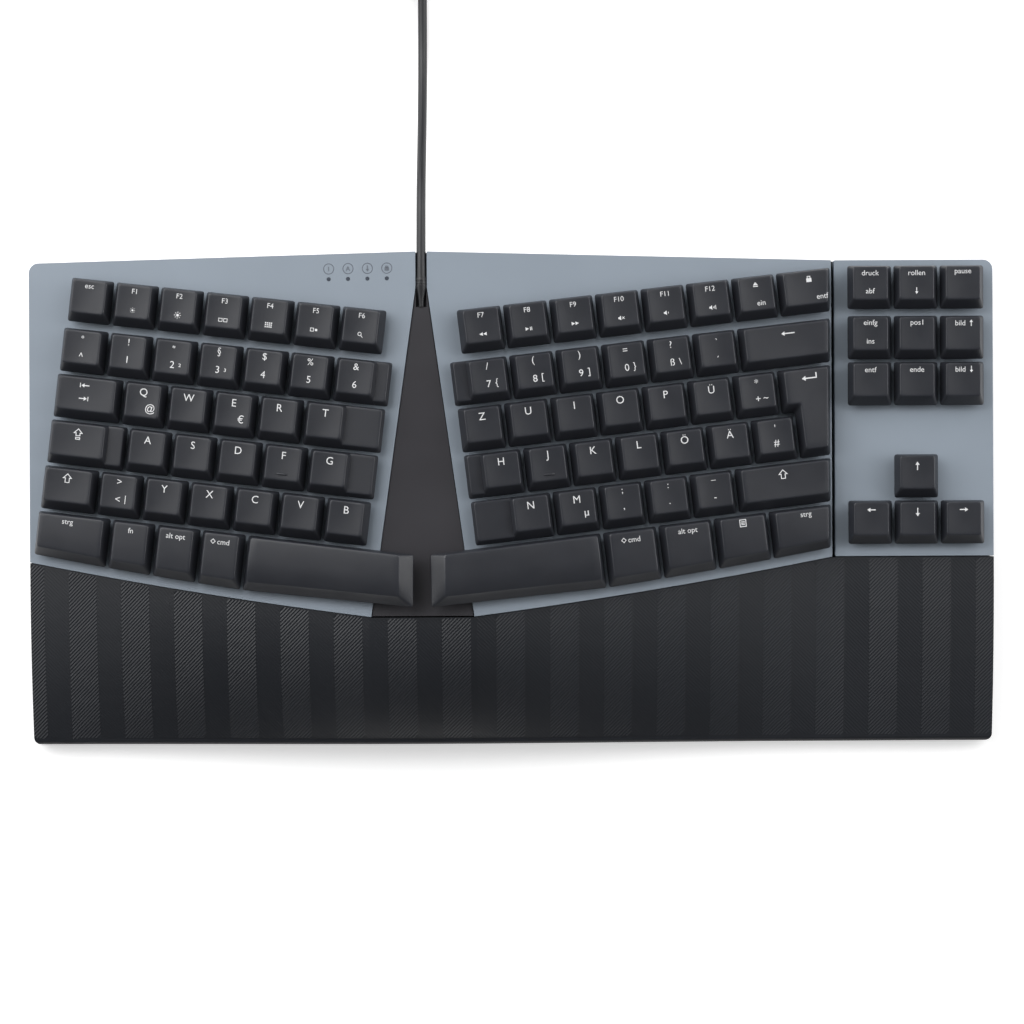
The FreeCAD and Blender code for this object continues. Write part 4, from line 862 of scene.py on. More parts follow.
HOMING_SIGNS = {"F", "J"}
PAIRED_CROWNS = {"space": Crown.ROLLED} | dict.fromkeys(
    ("control", "option", "command"), Crown.BARREL
)
CROWNS = {"key_enter": Crown.BOWL, "key_fn": Crown.BARREL, "key_menu": Crown.BARREL} | {
    f"key_{name}_{side}": crown for name, crown in PAIRED_CROWNS.items() for side in SIDES
}


@dataclass(frozen=True)
class FieldAxes:
    """The directions of a key field, in rows of a matrix: along its rows, rearwards and upwards."""

    inward: Matrix
    level_tilt: ClassVar[float] = 0.01

    @classmethod
    def from_press(cls, press: Sequence[float], row_turn: float) -> FieldAxes:
        """Works the directions out from the way the keys go down.

        Args:
            press: The direction in which a key of the field is pressed.
            row_turn: How far the rows of a tented field are turned in their deck.

        Returns:
            The field's directions.
        """
        tilt = math.asin(-press[0])
        turn = math.copysign(row_turn, tilt) if abs(tilt) > cls.level_tilt else 0.0
        outward = Matrix.Rotation(tilt, 3, "Y") @ Matrix.Rotation(turn, 3, "Z")
        return cls(outward.transposed())

    def outside(self, point: Vector) -> Vector:
        """Returns a point of the field in the model's directions."""
        return self.inward.transposed() @ point


def cross(first: Vector, last: Vector) -> float:
    """Returns the signed area between two plan directions."""
    return first.x * last.y - first.y * last.x


def meeting(p: Vector, p_way: Vector, q: Vector, q_way: Vector) -> Vector:
    """Returns the point where two plan lines meet.

    Args:
        p, q: A point on each line.
        p_way, q_way: The lines' directions.

    Returns:
        The point.
    """
    share = cross(q - p, q_way) / cross(p_way, q_way)
    return p + p_way * share


def moved_in(corners: Plan, distances: Sequence[float]) -> Plan:
    """Moves each side of a plan outline inwards.

    Args:
        corners: The outline, counter-clockwise.
        distances: How far each side moves, from the side after the first corner on.

    Returns:
        The new corners.
    """
    count = len(corners)
    lines = []
    for i, distance in enumerate(distances):
        way = (corners[(i + 1) % count] - corners[i]).normalized()
        lines.append((corners[i] + Vector((-way.y, way.x)) * distance, way))
    return [meeting(*lines[i - 1], *lines[i]) for i in range(count)]


def insets(outer: Plan, inner: Plan) -> list[float]:
    """Returns how far each side of one outline is inside the other's."""
    ways = [(q - p).normalized() for p, q in zip(outer, outer[1:] + outer[:1])]
    return [cross(way, q - p) for way, p, q in zip(ways, outer, inner)]


def heart(corners: Plan) -> Vector:
    """Finds the place that sees the whole of an outline.

    Args:
        corners: The corners of a four-sided or an angled outline.

    Returns:
        Its middle, or the place between an angled outline's inner corner and the one across.
    """
    count = len(corners)
    if count == 4:
        return sum(corners, Vector((0.0, 0.0))) / count
    turns = [
        cross(corner - corners[i - 1], corners[(i + 1) % count] - corner)
        for i, corner in enumerate(corners)
    ]
    inner = turns.index(min(turns))
    return corners[inner].lerp(corners[inner - 3], 0.5)


@dataclass
class CapOutline:
    """The outlines of one keycap in its field's directions."""

    rim: Plan
    crown: Plan
    foot: float
    top: float
    step: float | None

    @property
    def middle(self) -> Vector:
        """The middle of the crown."""
        return heart(self.crown)


def opened(node: bpy.types.Object, turn: Matrix | None = None) -> bmesh.types.BMesh:
    """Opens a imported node's mesh, with its points joined where its faces meet.

    Args:
        node: The node.
        turn: How the mesh is turned, where it is.

    Returns:
        The mesh, numbered and with its normals.
    """
    work = bmesh.new()
    work.from_mesh(node.data)
    bmesh.ops.remove_doubles(work, verts=work.verts, dist=MERGE)
    if turn:
        bmesh.ops.transform(work, matrix=turn.to_4x4(), verts=work.verts)
    work.normal_update()
    work.edges.index_update()
    return work


def islands(work: bmesh.types.BMesh) -> list[set[bmesh.types.BMVert]]:
    """Splits a mesh into its connected parts, in the order of their first points.

    Args:
        work: The mesh.

    Returns:
        The vertices of each part.
    """
    left = set(work.verts)
    found = []
    for seed in work.verts:
        if seed not in left:
            continue
        reached = edge = {seed}
        while edge:
            edge = {e.other_vert(v) for v in edge for e in v.link_edges} - reached
            reached = reached | edge
        left -= reached
        found.append(reached)
    return found


def extent(island: Iterable[bmesh.types.BMVert]) -> tuple[Vector, ...]:
    """Returns the lowest and the highest corner around a mesh's points."""
    places = [v.co for v in island]
    return tuple(Vector(pick(p[i] for p in places) for i in range(3)) for pick in (min, max))


@dataclass(frozen=True)
class Post:
    """An upright square post below a keycap: its plan place, side and end heights."""

    place: Vector
    side: float
    foot: float
    head: float


@dataclass
class CapReader:
    """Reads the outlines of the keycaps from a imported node."""

    axes: FieldAxes
    post_corners: int = 8
    flat: float = 2e-5
    shortest_side: float = 2.4 * MM
    crown_margin: float = 0.5 * MM
    upright: float = 0.999
    straight: float = 0.02

    def outlines(self, node: bpy.types.Object) -> list[CapOutline]:
        """Reads every cap of a node.

        Args:
            node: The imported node.

        Returns:
            The caps' outlines in the order of their row.
        """
        work = opened(node, self.axes.inward)
        caps = [island for island in islands(work) if len(island) > self.post_corners]
        found = [self.outline(island) for island in caps]
        work.free()
        return sorted(found, key=lambda cap: cap.middle.x)

    def posts(self, node: bpy.types.Object) -> list[Post]:
        """Reads the sliders and stabiliser posts of a node's caps.

        Args:
            node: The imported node.

        Returns:
            The posts.
        """
        work = opened(node, self.axes.inward)
        boxes = [extent(island) for island in islands(work) if len(island) == self.post_corners]
        work.free()
        return [Post((low.xy + high.xy) / 2, high.x - low.x, low.z, high.z) for low, high in boxes]

    def outline(self, island: set[bmesh.types.BMVert]) -> CapOutline:
        """Reads one cap.

        Args:
            island: The cap's vertices.

        Returns:
            Its outlines.
        """
        heights = [v.co.z for v in island]
        foot, top = min(heights), max(heights)
        faces = {f for v in island for f in v.link_faces}
        rim = self.loop(faces, foot)
        crown = self.loop(faces, top)
        crown = moved_in(crown, [-self.crown_margin] * len(crown))
        levels = [f.calc_center_median().z for f in faces if f.normal.z > self.upright]
        margin = 10 * self.flat
        steps = [level for level in levels if foot + margin < level < top - margin]
        return CapOutline(rim, crown, foot, top, max(steps, default=None))

    def loop(self, faces: set[bmesh.types.BMFace], level: float) -> Plan:
        """Finds the outer outline of the flat faces at one height.

        Args:
            faces: The cap's faces.
            level: The height.

        Returns:
            The outline's corners, counter-clockwise from the front left.
        """
        flat = {f for f in faces if all(abs(v.co.z - level) < self.flat for v in f.verts)}
        edges = {e for f in flat for e in f.edges if len(flat.intersection(e.link_faces)) == 1}
        loops = []
        while edges:
            edge = min(edges, key=lambda edge: edge.index)
            edges.remove(edge)
            start, here = edge.verts
            path = [start, here]
            while here != start:
                edge = next(e for e in here.link_edges if e in edges)
                edges.remove(edge)
                here = edge.other_vert(here)
                path.append(here)
            loops.append([v.co.xy for v in path[:-1]])
        outer = max(loops, key=lambda path: max(p.x for p in path) - min(p.x for p in path))
        if sum(cross(outer[i - 1], outer[i]) for i in range(len(outer))) < 0:
            outer.reverse()
        return self.corners(outer)

    def corners(self, path: Plan) -> Plan:
        """Reduces a rounded outline to the corners where its straight sides meet.

        Args:
            path: The outline's points, counter-clockwise.

        Returns:
            The corners, from the front left on.
        """
        sides: list[tuple[Vector, Vector]] = []
        for i, point in enumerate(path):
            way = point - path[i - 1]
            if way.length < self.shortest_side:
                continue
            way.normalize()
            if not sides or abs(cross(sides[-1][1], way)) > self.straight:
                sides.append((point, way))
        if abs(cross(sides[-1][1], sides[0][1])) < self.straight:
            sides.pop()
        found = [meeting(*sides[i - 1], *sides[i]) for i in range(len(sides))]
        first = min(range(len(found)), key=lambda i: found[i].x + found[i].y)
        return found[first:] + found[:first]


def rectangle(middle: Vector, reach: Vector) -> Plan:
    """Returns the corners of a rectangle around its middle, counter-clockwise."""
    signs = ((-1, -1), (1, -1), (1, 1), (-1, 1))
    return [middle + Vector((x * reach.x, y * reach.y)) for x, y in signs]


def rounded_loop(corners: Plan, reach: float, arc: int = 4, side: int = 6) -> Plan:
    """Rounds an outline's corners, always with the same number of points.

    Args:
        corners: The outline's corners.
        reach: How far from a corner its rounding starts.
        arc: Pieces in each corner.
        side: Pieces in each side.

    Returns:
        The outline's points.
    """
    count = len(corners)
    arcs = []
    for i, corner in enumerate(corners):
        before, after = corners[i - 1] - corner, corners[(i + 1) % count] - corner
        short = min(reach, 0.45 * before.length, 0.45 * after.length)
        start, stop = corner + before.normalized() * short, corner + after.normalized() * short
        shares = [step / arc for step in range(arc + 1)]
        arcs.append([start.lerp(corner, s).lerp(corner.lerp(stop, s), s) for s in shares])
    points = []
    for i, bend in enumerate(arcs):
        points += bend
        following = arcs[(i + 1) % count][0]
        points += [bend[-1].lerp(following, step / side) for step in range(1, side)]
    return points


class Ring(NamedTuple):
    """A ring of a cap's skin: its points and height, its share of the top's form, its wear."""

    points: Plan
    level: float
    share: float = 0.0
    wear: float = 0.0


@dataclass
class CapMaker:
    """Builds keycaps from their outlines, in their field's directions."""

    axes: FieldAxes
    crown: Crown
    wall: float = 1.3 * MM
    edge: float = 0.5 * MM
    corner: float = 1.2 * MM
    dish: float = 0.6 * MM
    end_dish: float = 0.7
    middle_dish: float = 0.3
    bowl: float = 0.6
    barrel: float = 0.5 * MM
    roll: float = 1.5 * MM
    rear_fall: float = 0.4
    fall_power: float = 2.2
    bend_share: float = 0.7
    step_edge: float = 0.4 * MM
    side_lean: float = 2.1 * MM
    lap: float = 1.4 * MM
    rim_wear: float = 0.2
    skirt: tuple[float, ...] = (0.06, 0.35, 0.7, 1.0)
    bends: tuple[tuple[float, float], ...] = ((22.5, 1.0), (45.0, 1.0), (67.5, 1.0), (90.0, 0.5))
    inwards: tuple[float, ...] = (0.9, 0.75, 0.55, 0.35, 0.15)
    post_bevel: float = 0.3 * MM
    post_corner: float = 0.5 * MM
    homing_bar: tuple[float, float] = (2.2 * MM, 0.45 * MM)
    homing_back: float = 4.3 * MM
    homing_corner: float = 0.3 * MM
    homing_rings: tuple[tuple[float, float], ...] = (
        (0.0, -0.3 * MM),
        (0.0, 0.15 * MM),
        (0.15 * MM, 0.35 * MM),
    )
    points: list[Vector] = field(default_factory=list)
    faces: list[tuple[int, ...]] = field(default_factory=list)
    kinds: list[int] = field(default_factory=list)
    wear: list[float] = field(default_factory=list)

    def sag(self, cap: CapOutline, place: Vector) -> float:
        """Returns how far a cap's top lies below its highest level at a place.

        Args:
            cap: The cap.
            place: The plan place.

        Returns:
            The depth in metres, below zero downwards.
        """
        middle = cap.middle
        width = max(c.x for c in cap.crown) - min(c.x for c in cap.crown)
        depth = max(c.y for c in cap.crown) - min(c.y for c in cap.crown)
        aside = min(abs(place.x - middle.x) / (width / 2), 1.0)
        ahead = min(abs(place.y - middle.y) / (depth / 2), 1.0)
        if self.crown in (Crown.BARREL, Crown.ROLLED):
            fall = self.roll if self.crown is Crown.ROLLED else self.barrel
            share = 1.0 if place.y < middle.y else self.rear_fall
            return -fall * share * ahead**self.fall_power
        if self.crown is Crown.BOWL:
            return -self.dish * self.bowl * (1 - max(aside, ahead) ** 2)
        share = self.end_dish + self.middle_dish * (1 - ahead**2)
        return -self.dish * (1 - aside**2) * share

    def add(self, cap: CapOutline) -> None:
        """Adds one cap, and its low side step where it has one.

        Args:
            cap: The cap's outlines.
        """
        rim = cap.rim
        if cap.step is not None:
            rim = self.raised_rim(cap)
            outer, upper = self.side_step(cap, rim)
            self.body(outer, upper, cap.foot, cap.step, lambda place: 0.0, self.step_edge)
        self.body(rim, cap.crown, cap.foot, cap.top, lambda place: self.sag(cap, place), self.edge)

    def add_post(self, post: Post) -> None:
        """Adds a slider or a stabiliser post with a bevelled foot.

        Args:
            post: The post.
        """
        bevel = self.post_bevel
        rings = []
        for inset, level in ((bevel, post.foot), (0.0, post.foot + bevel), (0.0, post.head)):
            reach = post.side / 2 - inset
            corners = rectangle(post.place, Vector((reach, reach)))
            rings.append(Ring(rounded_loop(corners, self.post_corner), level))
        # Every side face of the post takes the skirts' painted shade.
        self.stitch(rings, post.place, lambda place: 0.0, len(rings))

    def add_homing_bar(self, cap: CapOutline) -> None:
        """Adds the low bar by which a finger finds its home key.

        Args:
            cap: The home key's cap.
        """
        place = cap.middle - Vector((0.0, self.homing_back))
        level = cap.top + self.sag(cap, place)
        rings = []
        for inset, height in self.homing_rings:
            corners = rectangle(place, Vector(self.homing_bar) - Vector((inset, inset)))
            rings.append(Ring(rounded_loop(corners, self.homing_corner), level + height))
        self.stitch(rings, place, lambda place: 0.0, 0)

    def leans(self, cap: CapOutline) -> tuple[int, list[float]]:
        """Works out how far each side of a stepped cap's raised part leans in.

        Args:
            cap: The cap.

        Returns:
            The number of the side with the step, and the lean of every side.
        """
        reach = insets(cap.rim, cap.crown)
        side = max((1, 3), key=lambda i: reach[i])
        reach[side] = self.side_lean
        return side, reach

    def side_step(self, cap: CapOutline, raised: Plan) -> tuple[Plan, Plan]:
        """Works out the low step beside a cap's raised part, which it runs a little way into.

        Args:
            cap: The cap.
            raised: The rim of its raised part.

        Returns:
            The outlines of the step's rim and top.
        """
        share = (cap.step - cap.foot) / (cap.top - cap.foot)
        side, reach = self.leans(cap)
        leans = [distance * share for distance in reach]
        laps = [self.lap if i == side else 0.0 for i in range(4)]
        slope = [a.lerp(b, share) for a, b in zip(raised, cap.crown)]
        outlines = []
        for outer, inner in ((cap.rim, raised), (moved_in(cap.rim, leans), slope)):
            inner = moved_in(inner, laps)
            if side == 1:
                outlines.append([inner[1], outer[1], outer[2], inner[2]])
            else:
                outlines.append([outer[0], inner[0], inner[3], outer[3]])
        return outlines[0], outlines[1]

    def raised_rim(self, cap: CapOutline) -> Plan:
        """Returns the rim of a stepped cap's raised part."""
        return moved_in(cap.crown, [-distance for distance in self.leans(cap)[1]])

    def body(
        self,
        rim: Plan,
        crown: Plan,
        foot: float,
        top: float,
        sag: Callable[[Vector], float],
        edge: float,
    ) -> None:
        """Adds a hollow body with rounded edges as rings from its roof to the middle of its top.

        Args:
            rim: The outline of its rim.
            crown: The outline of its top.
            foot, top: The heights of its rim and its top.
            sag: How far the top lies below its level at a place.
            edge: The rounding of its upper edge.
        """
        count = len(rim)
        share = (top - foot - self.wall) / (top - foot)
        slope = [a.lerp(b, share) for a, b in zip(rim, crown)]
        roof = moved_in(slope, [self.wall] * count)
        inner = moved_in(rim, [self.wall] * count)
        shoulder = (top - foot - edge) / (top - foot)
        rings = [
            Ring(rounded_loop(roof, self.corner / 2), top - self.wall, 1.0),
            Ring(rounded_loop(inner, self.corner / 2), foot),
            Ring(rounded_loop(rim, self.corner), foot, 0.0, self.rim_wear),
        ]
        for share in self.skirt:
            middle = [a.lerp(b, share * shoulder) for a, b in zip(rim, crown)]
            level = foot + (top - foot) * share * shoulder
            rings.append(Ring(rounded_loop(middle, self.corner), level, share))
        start = [a.lerp(b, shoulder) for a, b in zip(rim, crown)]
        margin = insets(start, crown)
        for angle, wear in self.bends:
            turn = math.radians(angle)
            shift = edge * self.bend_share * (1 - math.cos(turn))
            shifts = [m * math.sin(turn) + shift for m in margin]
            level = top - edge * (1 - math.sin(turn))
            bend = rounded_loop(moved_in(start, shifts), self.corner)
            rings.append(Ring(bend, level, 1.0, wear))
        outline = rings[-1].points
        centre = heart(crown)
        first_top = len(rings) - len(self.bends) + 1
        for share in self.inwards:
            rings.append(Ring([centre.lerp(p, share) for p in outline], top, 1.0))
        self.stitch(rings, centre, sag, first_top)

    def stitch(
        self,
        rings: list[Ring],
        centre: Vector,
        sag: Callable[[Vector], float],
        first_top: int,
    ) -> None:
        """Joins rings of points into a closed skin.

        Args:
            rings: The rings, from the roof on.
            centre: The plan place where the roof and the top close.
            sag: How far the top lies below its level at a place.
            first_top: The first ring with the top's colour; below it, and on the roof, faces take
                the skirts' painted shade, except on the sides of rolled caps.
        """
        base = len(self.points)
        count = len(rings[0].points)
        self.point(centre, rings[0].level + sag(centre), 0.0)
        for points, level, share, wear in rings:
            for place in points:
                self.point(place, level + sag(place) * share, wear)
        self.point(centre, rings[-1].level + sag(centre), 0.0)
        last = base + 1 + count * len(rings)
        # Material 1 is painted shade: the roof always, and the rings below first_top except on
        # rolled caps, which keep the top's colour on their sides because their ends catch the
        # light.
        for i in range(count):
            j = (i + 1) % count
            self.face((base, base + 1 + j, base + 1 + i), 1)
            for number in range(len(rings) - 1):
                low = base + 1 + number * count
                high = low + count
                kind = 0 if number >= first_top or self.crown is Crown.ROLLED else 1
                self.face((low + i, low + j, high + j, high + i), kind)
            self.face((last - count + i, last - count + j, last), 0)

    def point(self, place: Vector, level: float, wear: float) -> None:
        """Adds a point."""
        self.points.append(self.axes.outside(Vector((place.x, place.y, level))))
        self.wear.append(wear)

    def face(self, corners: tuple[int, ...], kind: int) -> None:
        """Adds a face."""
        self.faces.append(corners)
        self.kinds.append(kind)

    def mesh(self, name: str) -> bpy.types.Mesh:
        """Builds the mesh of all caps added so far.

        Args:
            name: The mesh's name.

        Returns:
            The mesh.
        """
        made = plain_mesh(name, self.points, self.faces)
        made.polygons.foreach_set("material_index", self.kinds)
        made.polygons.foreach_set("use_smooth", [True] * len(self.faces))
        wear = made.attributes.new("wear", "FLOAT", "POINT")
        wear.data.foreach_set("value", self.wear)
        made.update()
        return made


Flat = tuple[list[Vector], list[tuple[int, ...]]]


@dataclass
class SignWriter:
    """Turns signs into flat meshes that lie on the tops of the caps."""

    lift: float = 0.02 * MM
    flats: dict[str | Icon, Flat] = field(default_factory=dict)

    def __post_init__(self) -> None:
        """Sets the type up and measures a capital letter."""
        self.curve = bpy.data.curves.new("sign_type", "FONT")
        self.curve.resolution_u = 3
        self.holder = bpy.data.objects.new("sign_type", self.curve)
        bpy.context.scene.collection.objects.link(self.holder)
        points, _ = self.flat("H")
        self.capital = max(p.y for p in points) - min(p.y for p in points)

    def flat(self, mark: str | Icon) -> Flat:
        """Returns a sign's flat points and its faces, in the type's own size.

        Args:
            mark: The text, which comes centred, or the picture.

        Returns:
            The points and the faces.
        """
        if mark not in self.flats:
            drawn = self.picture(mark) if isinstance(mark, Icon) else self.typed(mark)
            self.flats[mark] = drawn
        return self.flats[mark]

    def picture(self, icon: Icon) -> Flat:
        """Turns a picture into a flat mesh.

        Args:
            icon: The picture.

        Returns:
            Its points and faces.
        """
        points: list[Vector] = []
        faces = []
        for outline in icon.value:
            faces.append(tuple(range(len(points), len(points) + len(outline))))
            points += [Vector(spot) * self.capital for spot in outline]
        return points, faces

    def typed(self, text: str) -> Flat:
        """Turns a text into a flat mesh around its middle.

        Args:
            text: The text.

        Returns:
            Its points and faces.
        """
        self.curve.body = text
        bpy.context.view_layer.update()
        state = self.holder.evaluated_get(bpy.context.evaluated_depsgraph_get())
        mesh = bpy.data.meshes.new_from_object(state)
        points = [v.co.xy for v in mesh.vertices]
        low = Vector((min(p.x for p in points), min(p.y for p in points)))
        high = Vector((max(p.x for p in points), max(p.y for p in points)))
        middle = (low + high) / 2
        faces = [tuple(p.vertices) for p in mesh.polygons]
        bpy.data.meshes.remove(mesh)
        return [p - middle for p in points], faces

    def write(self, maker: CapMaker, caps: list[CapOutline], texts: list[Signs]) -> Flat:
        """Lays signs on caps.

        Args:
            maker: The maker that formed the caps.
            caps: The caps' outlines.
            texts: The signs of each cap.

        Returns:
            The points and the faces of all signs.
        """
        points: list[Vector] = []
        faces: list[tuple[int, ...]] = []
        for cap, signs in zip(caps, texts, strict=True):
            for sign in signs:
                flat, shapes = self.flat(sign.mark)
                scale = sign.height * MM / self.capital
                base = len(points)
                place = cap.middle + Vector((sign.across, sign.rear)) * MM
                for spot in flat:
                    at = place + spot * scale
                    level = cap.top + maker.sag(cap, at) + self.lift
                    points.append(maker.axes.outside(Vector((at.x, at.y, level))))
                faces += [tuple(base + i for i in shape) for shape in shapes]
        return points, faces

    def close(self) -> None:
        """Removes the type."""
        bpy.data.objects.remove(self.holder)
        bpy.data.curves.remove(self.curve)


@dataclass
class KeySet:
    """All keycaps and their signs."""

    frame: dict
    row_turn: float = math.radians(6.75)

    def build(self) -> None:
        """Builds a piece of caps and a piece of signs for every key body."""
        writer = SignWriter()
        press = {joint["child"]: joint["axis"] for joint in self.frame["joints"]}
        for node, texts in LEGENDS.items():
            axes = FieldAxes.from_press(press[node], self.row_turn)
            reader = CapReader(axes)
            caps = reader.outlines(self.frame["nodes"][node])
            maker = CapMaker(axes, CROWNS.get(node, Crown.DISHED))
            for cap, signs in zip(caps, texts, strict=True):
                maker.add(cap)
                if any(sign.mark in HOMING_SIGNS for sign in signs):
                    maker.add_homing_bar(cap)
            for post in reader.posts(self.frame["nodes"][node]):
                maker.add_post(post)
            # Each cap piece takes the tops' colour and the skirts' painted shade.
            piece = new_piece(f"caps_{node}", maker.mesh(f"caps_{node}"), CAP_TOP, CAP_SIDE_PAINTED_SHADE)
            settle(piece, node, [node])
            points, faces = writer.write(maker, caps, texts)
            if faces:
                mesh = plain_mesh(f"signs_{node}", points, faces)
                settle(new_piece(f"signs_{node}", mesh, SIGN_PAINT), node)
        writer.close()


@dataclass
class Shell:
    """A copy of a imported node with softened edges."""

    node: str
    finish: Finish
    slot: str
    body: str = KEYBOARD
    edge: float = 0.35 * MM
    flat: float = math.radians(0.2)
    sharp: float = math.radians(30)
    segments: int = 2

    def build(self, nodes: dict[str, bpy.types.Object]) -> bpy.types.Object:
        """Builds the piece, which stands for its node.

        Args:
            nodes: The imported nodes.

        Returns:
            The piece.
        """
        work = opened(nodes[self.node])
        bmesh.ops.dissolve_limit(work, angle_limit=self.flat, verts=work.verts, edges=work.edges)
        keen = [
            e for e in work.edges if len(e.link_faces) == 2 and e.calc_face_angle(0.0) > self.sharp
        ]
        if self.edge:
            bmesh.ops.bevel(
                work,
                geom=keen,
                offset=self.edge,
                segments=self.segments,
                profile=0.5,
                affect="EDGES",
                clamp_overlap=True,
            )
        for face in work.faces:
            face.smooth = True
        for edge in work.edges:
            edge.smooth = edge.calc_face_angle(0.0) < CREASE
        mesh = bpy.data.meshes.new(f"{self.node}_dressed")
        work.to_mesh(mesh)
        work.free()
        piece = new_piece(f"{self.node}_dressed", mesh, self.finish)
        evened = piece.modifiers.new("evened normals", "WEIGHTED_NORMAL")
        evened.keep_sharp = True
        return settle(piece, self.body, [self.node])


@dataclass
class PalmRibs:
    """The slanting ribs on the palm rest's top, as closed sheets that lie on it."""

    nodes: dict[str, bpy.types.Object]
    finish: HerringbonePlastic
    covers: tuple[str, ...] = ("left_deck", "right_deck", "navigation_deck", "centre_spine")
    above: float = 0.2
    steepest: float = 0.72
    ahead: float = 1.6 * MM
    aside: float = 0.1 * MM
    sunk: float = 0.02 * MM
    depth: float = 0.2 * MM
    margin: float = 0.4 * MM
    shortest: float = 0.6 * MM
    fewest: int = 4
    probes: int = 12
    pieces: int = 4
    halvings: int = 8
    points: list[Vector] = field(default_factory=list)
    faces: list[tuple[int, ...]] = field(default_factory=list)

    def __post_init__(self) -> None:
        """Joins the palm rest and what covers it into one tree for rays."""
        points: list[Vector] = []
        faces: list[tuple[int, ...]] = []
        for node in ("palm_rest", *self.covers):
            mesh = self.nodes[node].data
            base = len(points)
            points += [v.co.copy() for v in mesh.vertices]
            faces += [tuple(base + i for i in p.vertices) for p in mesh.polygons]
        self.own = len(self.nodes["palm_rest"].data.polygons)
        self.tree = BVHTree.FromPolygons(points, faces)

    def level(self, x: float, y: float) -> float | None:
        """Returns the height of the palm rest's open top, or None beside it and at its front."""
        return None if self.top(x, y - self.ahead) is None else self.top(x, y)

    def top(self, x: float, y: float) -> float | None:
        """Measures the palm rest's open top at a place, or just beside it.

        Args:
            x, y: The place.

        Returns:
            The top's height, or None where something covers it or it falls away.
        """
        for aside in (0.0, self.aside, -self.aside):
            above = Vector((x + aside, y, self.above))
            spot, normal, face, _ = self.tree.ray_cast(above, Vector((0, 0, -1)))
            if spot is not None and face < self.own and normal.z >= self.steepest:
                return spot.z
        return None

    def build(self) -> bpy.types.Object:
        """Builds the ribs.

        Returns:
            The piece.
        """
        low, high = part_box("palm_rest")
        step = self.finish.pitch / 2
        for band in self.finish.bands(low.x, high.x):
            if band.right - band.left < self.shortest:
                continue
            ends = [y - band.slant * x for y in (low.y, high.y) for x in (band.left, band.right)]
            rows: list[list[Vector]] = []
            for number in range(math.floor(min(ends) / step), math.ceil(max(ends) / step) + 1):
                row = self.row(band, number)
                if row:
                    rows.append(row)
                if rows and not row:
                    self.sheet(rows)
                    rows = []
            self.sheet(rows)
        mesh = plain_mesh("palm_ribs", self.points, self.faces)
        return settle(new_piece("palm_ribs", mesh, self.finish), KEYBOARD)

    def row(self, band: Band, number: int) -> list[Vector]:
        """Lays the crest of a rib or the valley beside it across a band.

        Args:
            band: The band.
            number: The line's number; crests are odd.

        Returns:
            The line's points, or nothing where it misses the palm rest.
        """
        offset = number * self.finish.pitch / 2
        width = band.right - band.left
        probes = [band.left + width * i / self.probes for i in range(self.probes + 1)]
        inside = [self.level(x, band.slant * x + offset) is not None for x in probes]
        if not any(inside):
            return []
        first = inside.index(True)
        last = next((i for i in range(first, len(inside)) if not inside[i]), len(inside)) - 1
        left, right = probes[first], probes[last]
        if first > 0:
            left = self.border(band, offset, left, probes[first - 1]) + self.margin
        if last < self.probes:
            right = self.border(band, offset, right, probes[last + 1]) - self.margin
        if right - left < self.shortest:
            return []
        lift = band.height if number % 2 else -self.sunk
        row = []
        for i in range(self.pieces + 1):
            x = left + (right - left) * i / self.pieces
            y = band.slant * x + offset
            height = self.top(x, y)
            if height is None:
                return []
            row.append(Vector((x, y, height + lift)))
        return row

    def border(self, band: Band, offset: float, inner: float, outer: float) -> float:
        """Finds where a line leaves the palm rest, by halving.

        Args:
            band: The band.
            offset: The line's place.
            inner, outer: Places on the palm rest and beside it.

        Returns:
            The last place on the palm rest.
        """
        for _ in range(self.halvings):
            middle = (inner + outer) / 2
            if self.level(middle, band.slant * middle + offset) is None:
                outer = middle
            else:
                inner = middle
        return inner

    def sheet(self, rows: list[list[Vector]]) -> None:
        """Adds a closed sheet whose upper side runs through rows of points.

        Args:
            rows: The rows, from the front to the rear.
        """
        if len(rows) < self.fewest:
            return
        base, count = len(self.points), self.pieces + 1
        under = len(rows) * count
        self.points += [point for row in rows for point in row]
        self.points += [point - Vector((0, 0, self.depth)) for row in rows for point in row]
        for low in range(base, base + under - count, count):
            for i in range(low, low + self.pieces):
                self.faces.append((i, i + 1, i + count + 1, i + count))
                self.faces.append(
                    (i + under + count, i + under + count + 1, i + under + 1, i + under)
                )
        rim = [base + i for i in range(count)]
        rim += [base + row * count + self.pieces for row in range(1, len(rows))]
        rim += [base + under - 1 - i for i in range(1, count)]
        rim += [base + row * count for row in range(len(rows) - 2, 0, -1)]
        for i, corner in enumerate(rim):
            following = rim[(i + 1) % len(rim)]
            self.faces.append((following, corner, corner + under, following + under))


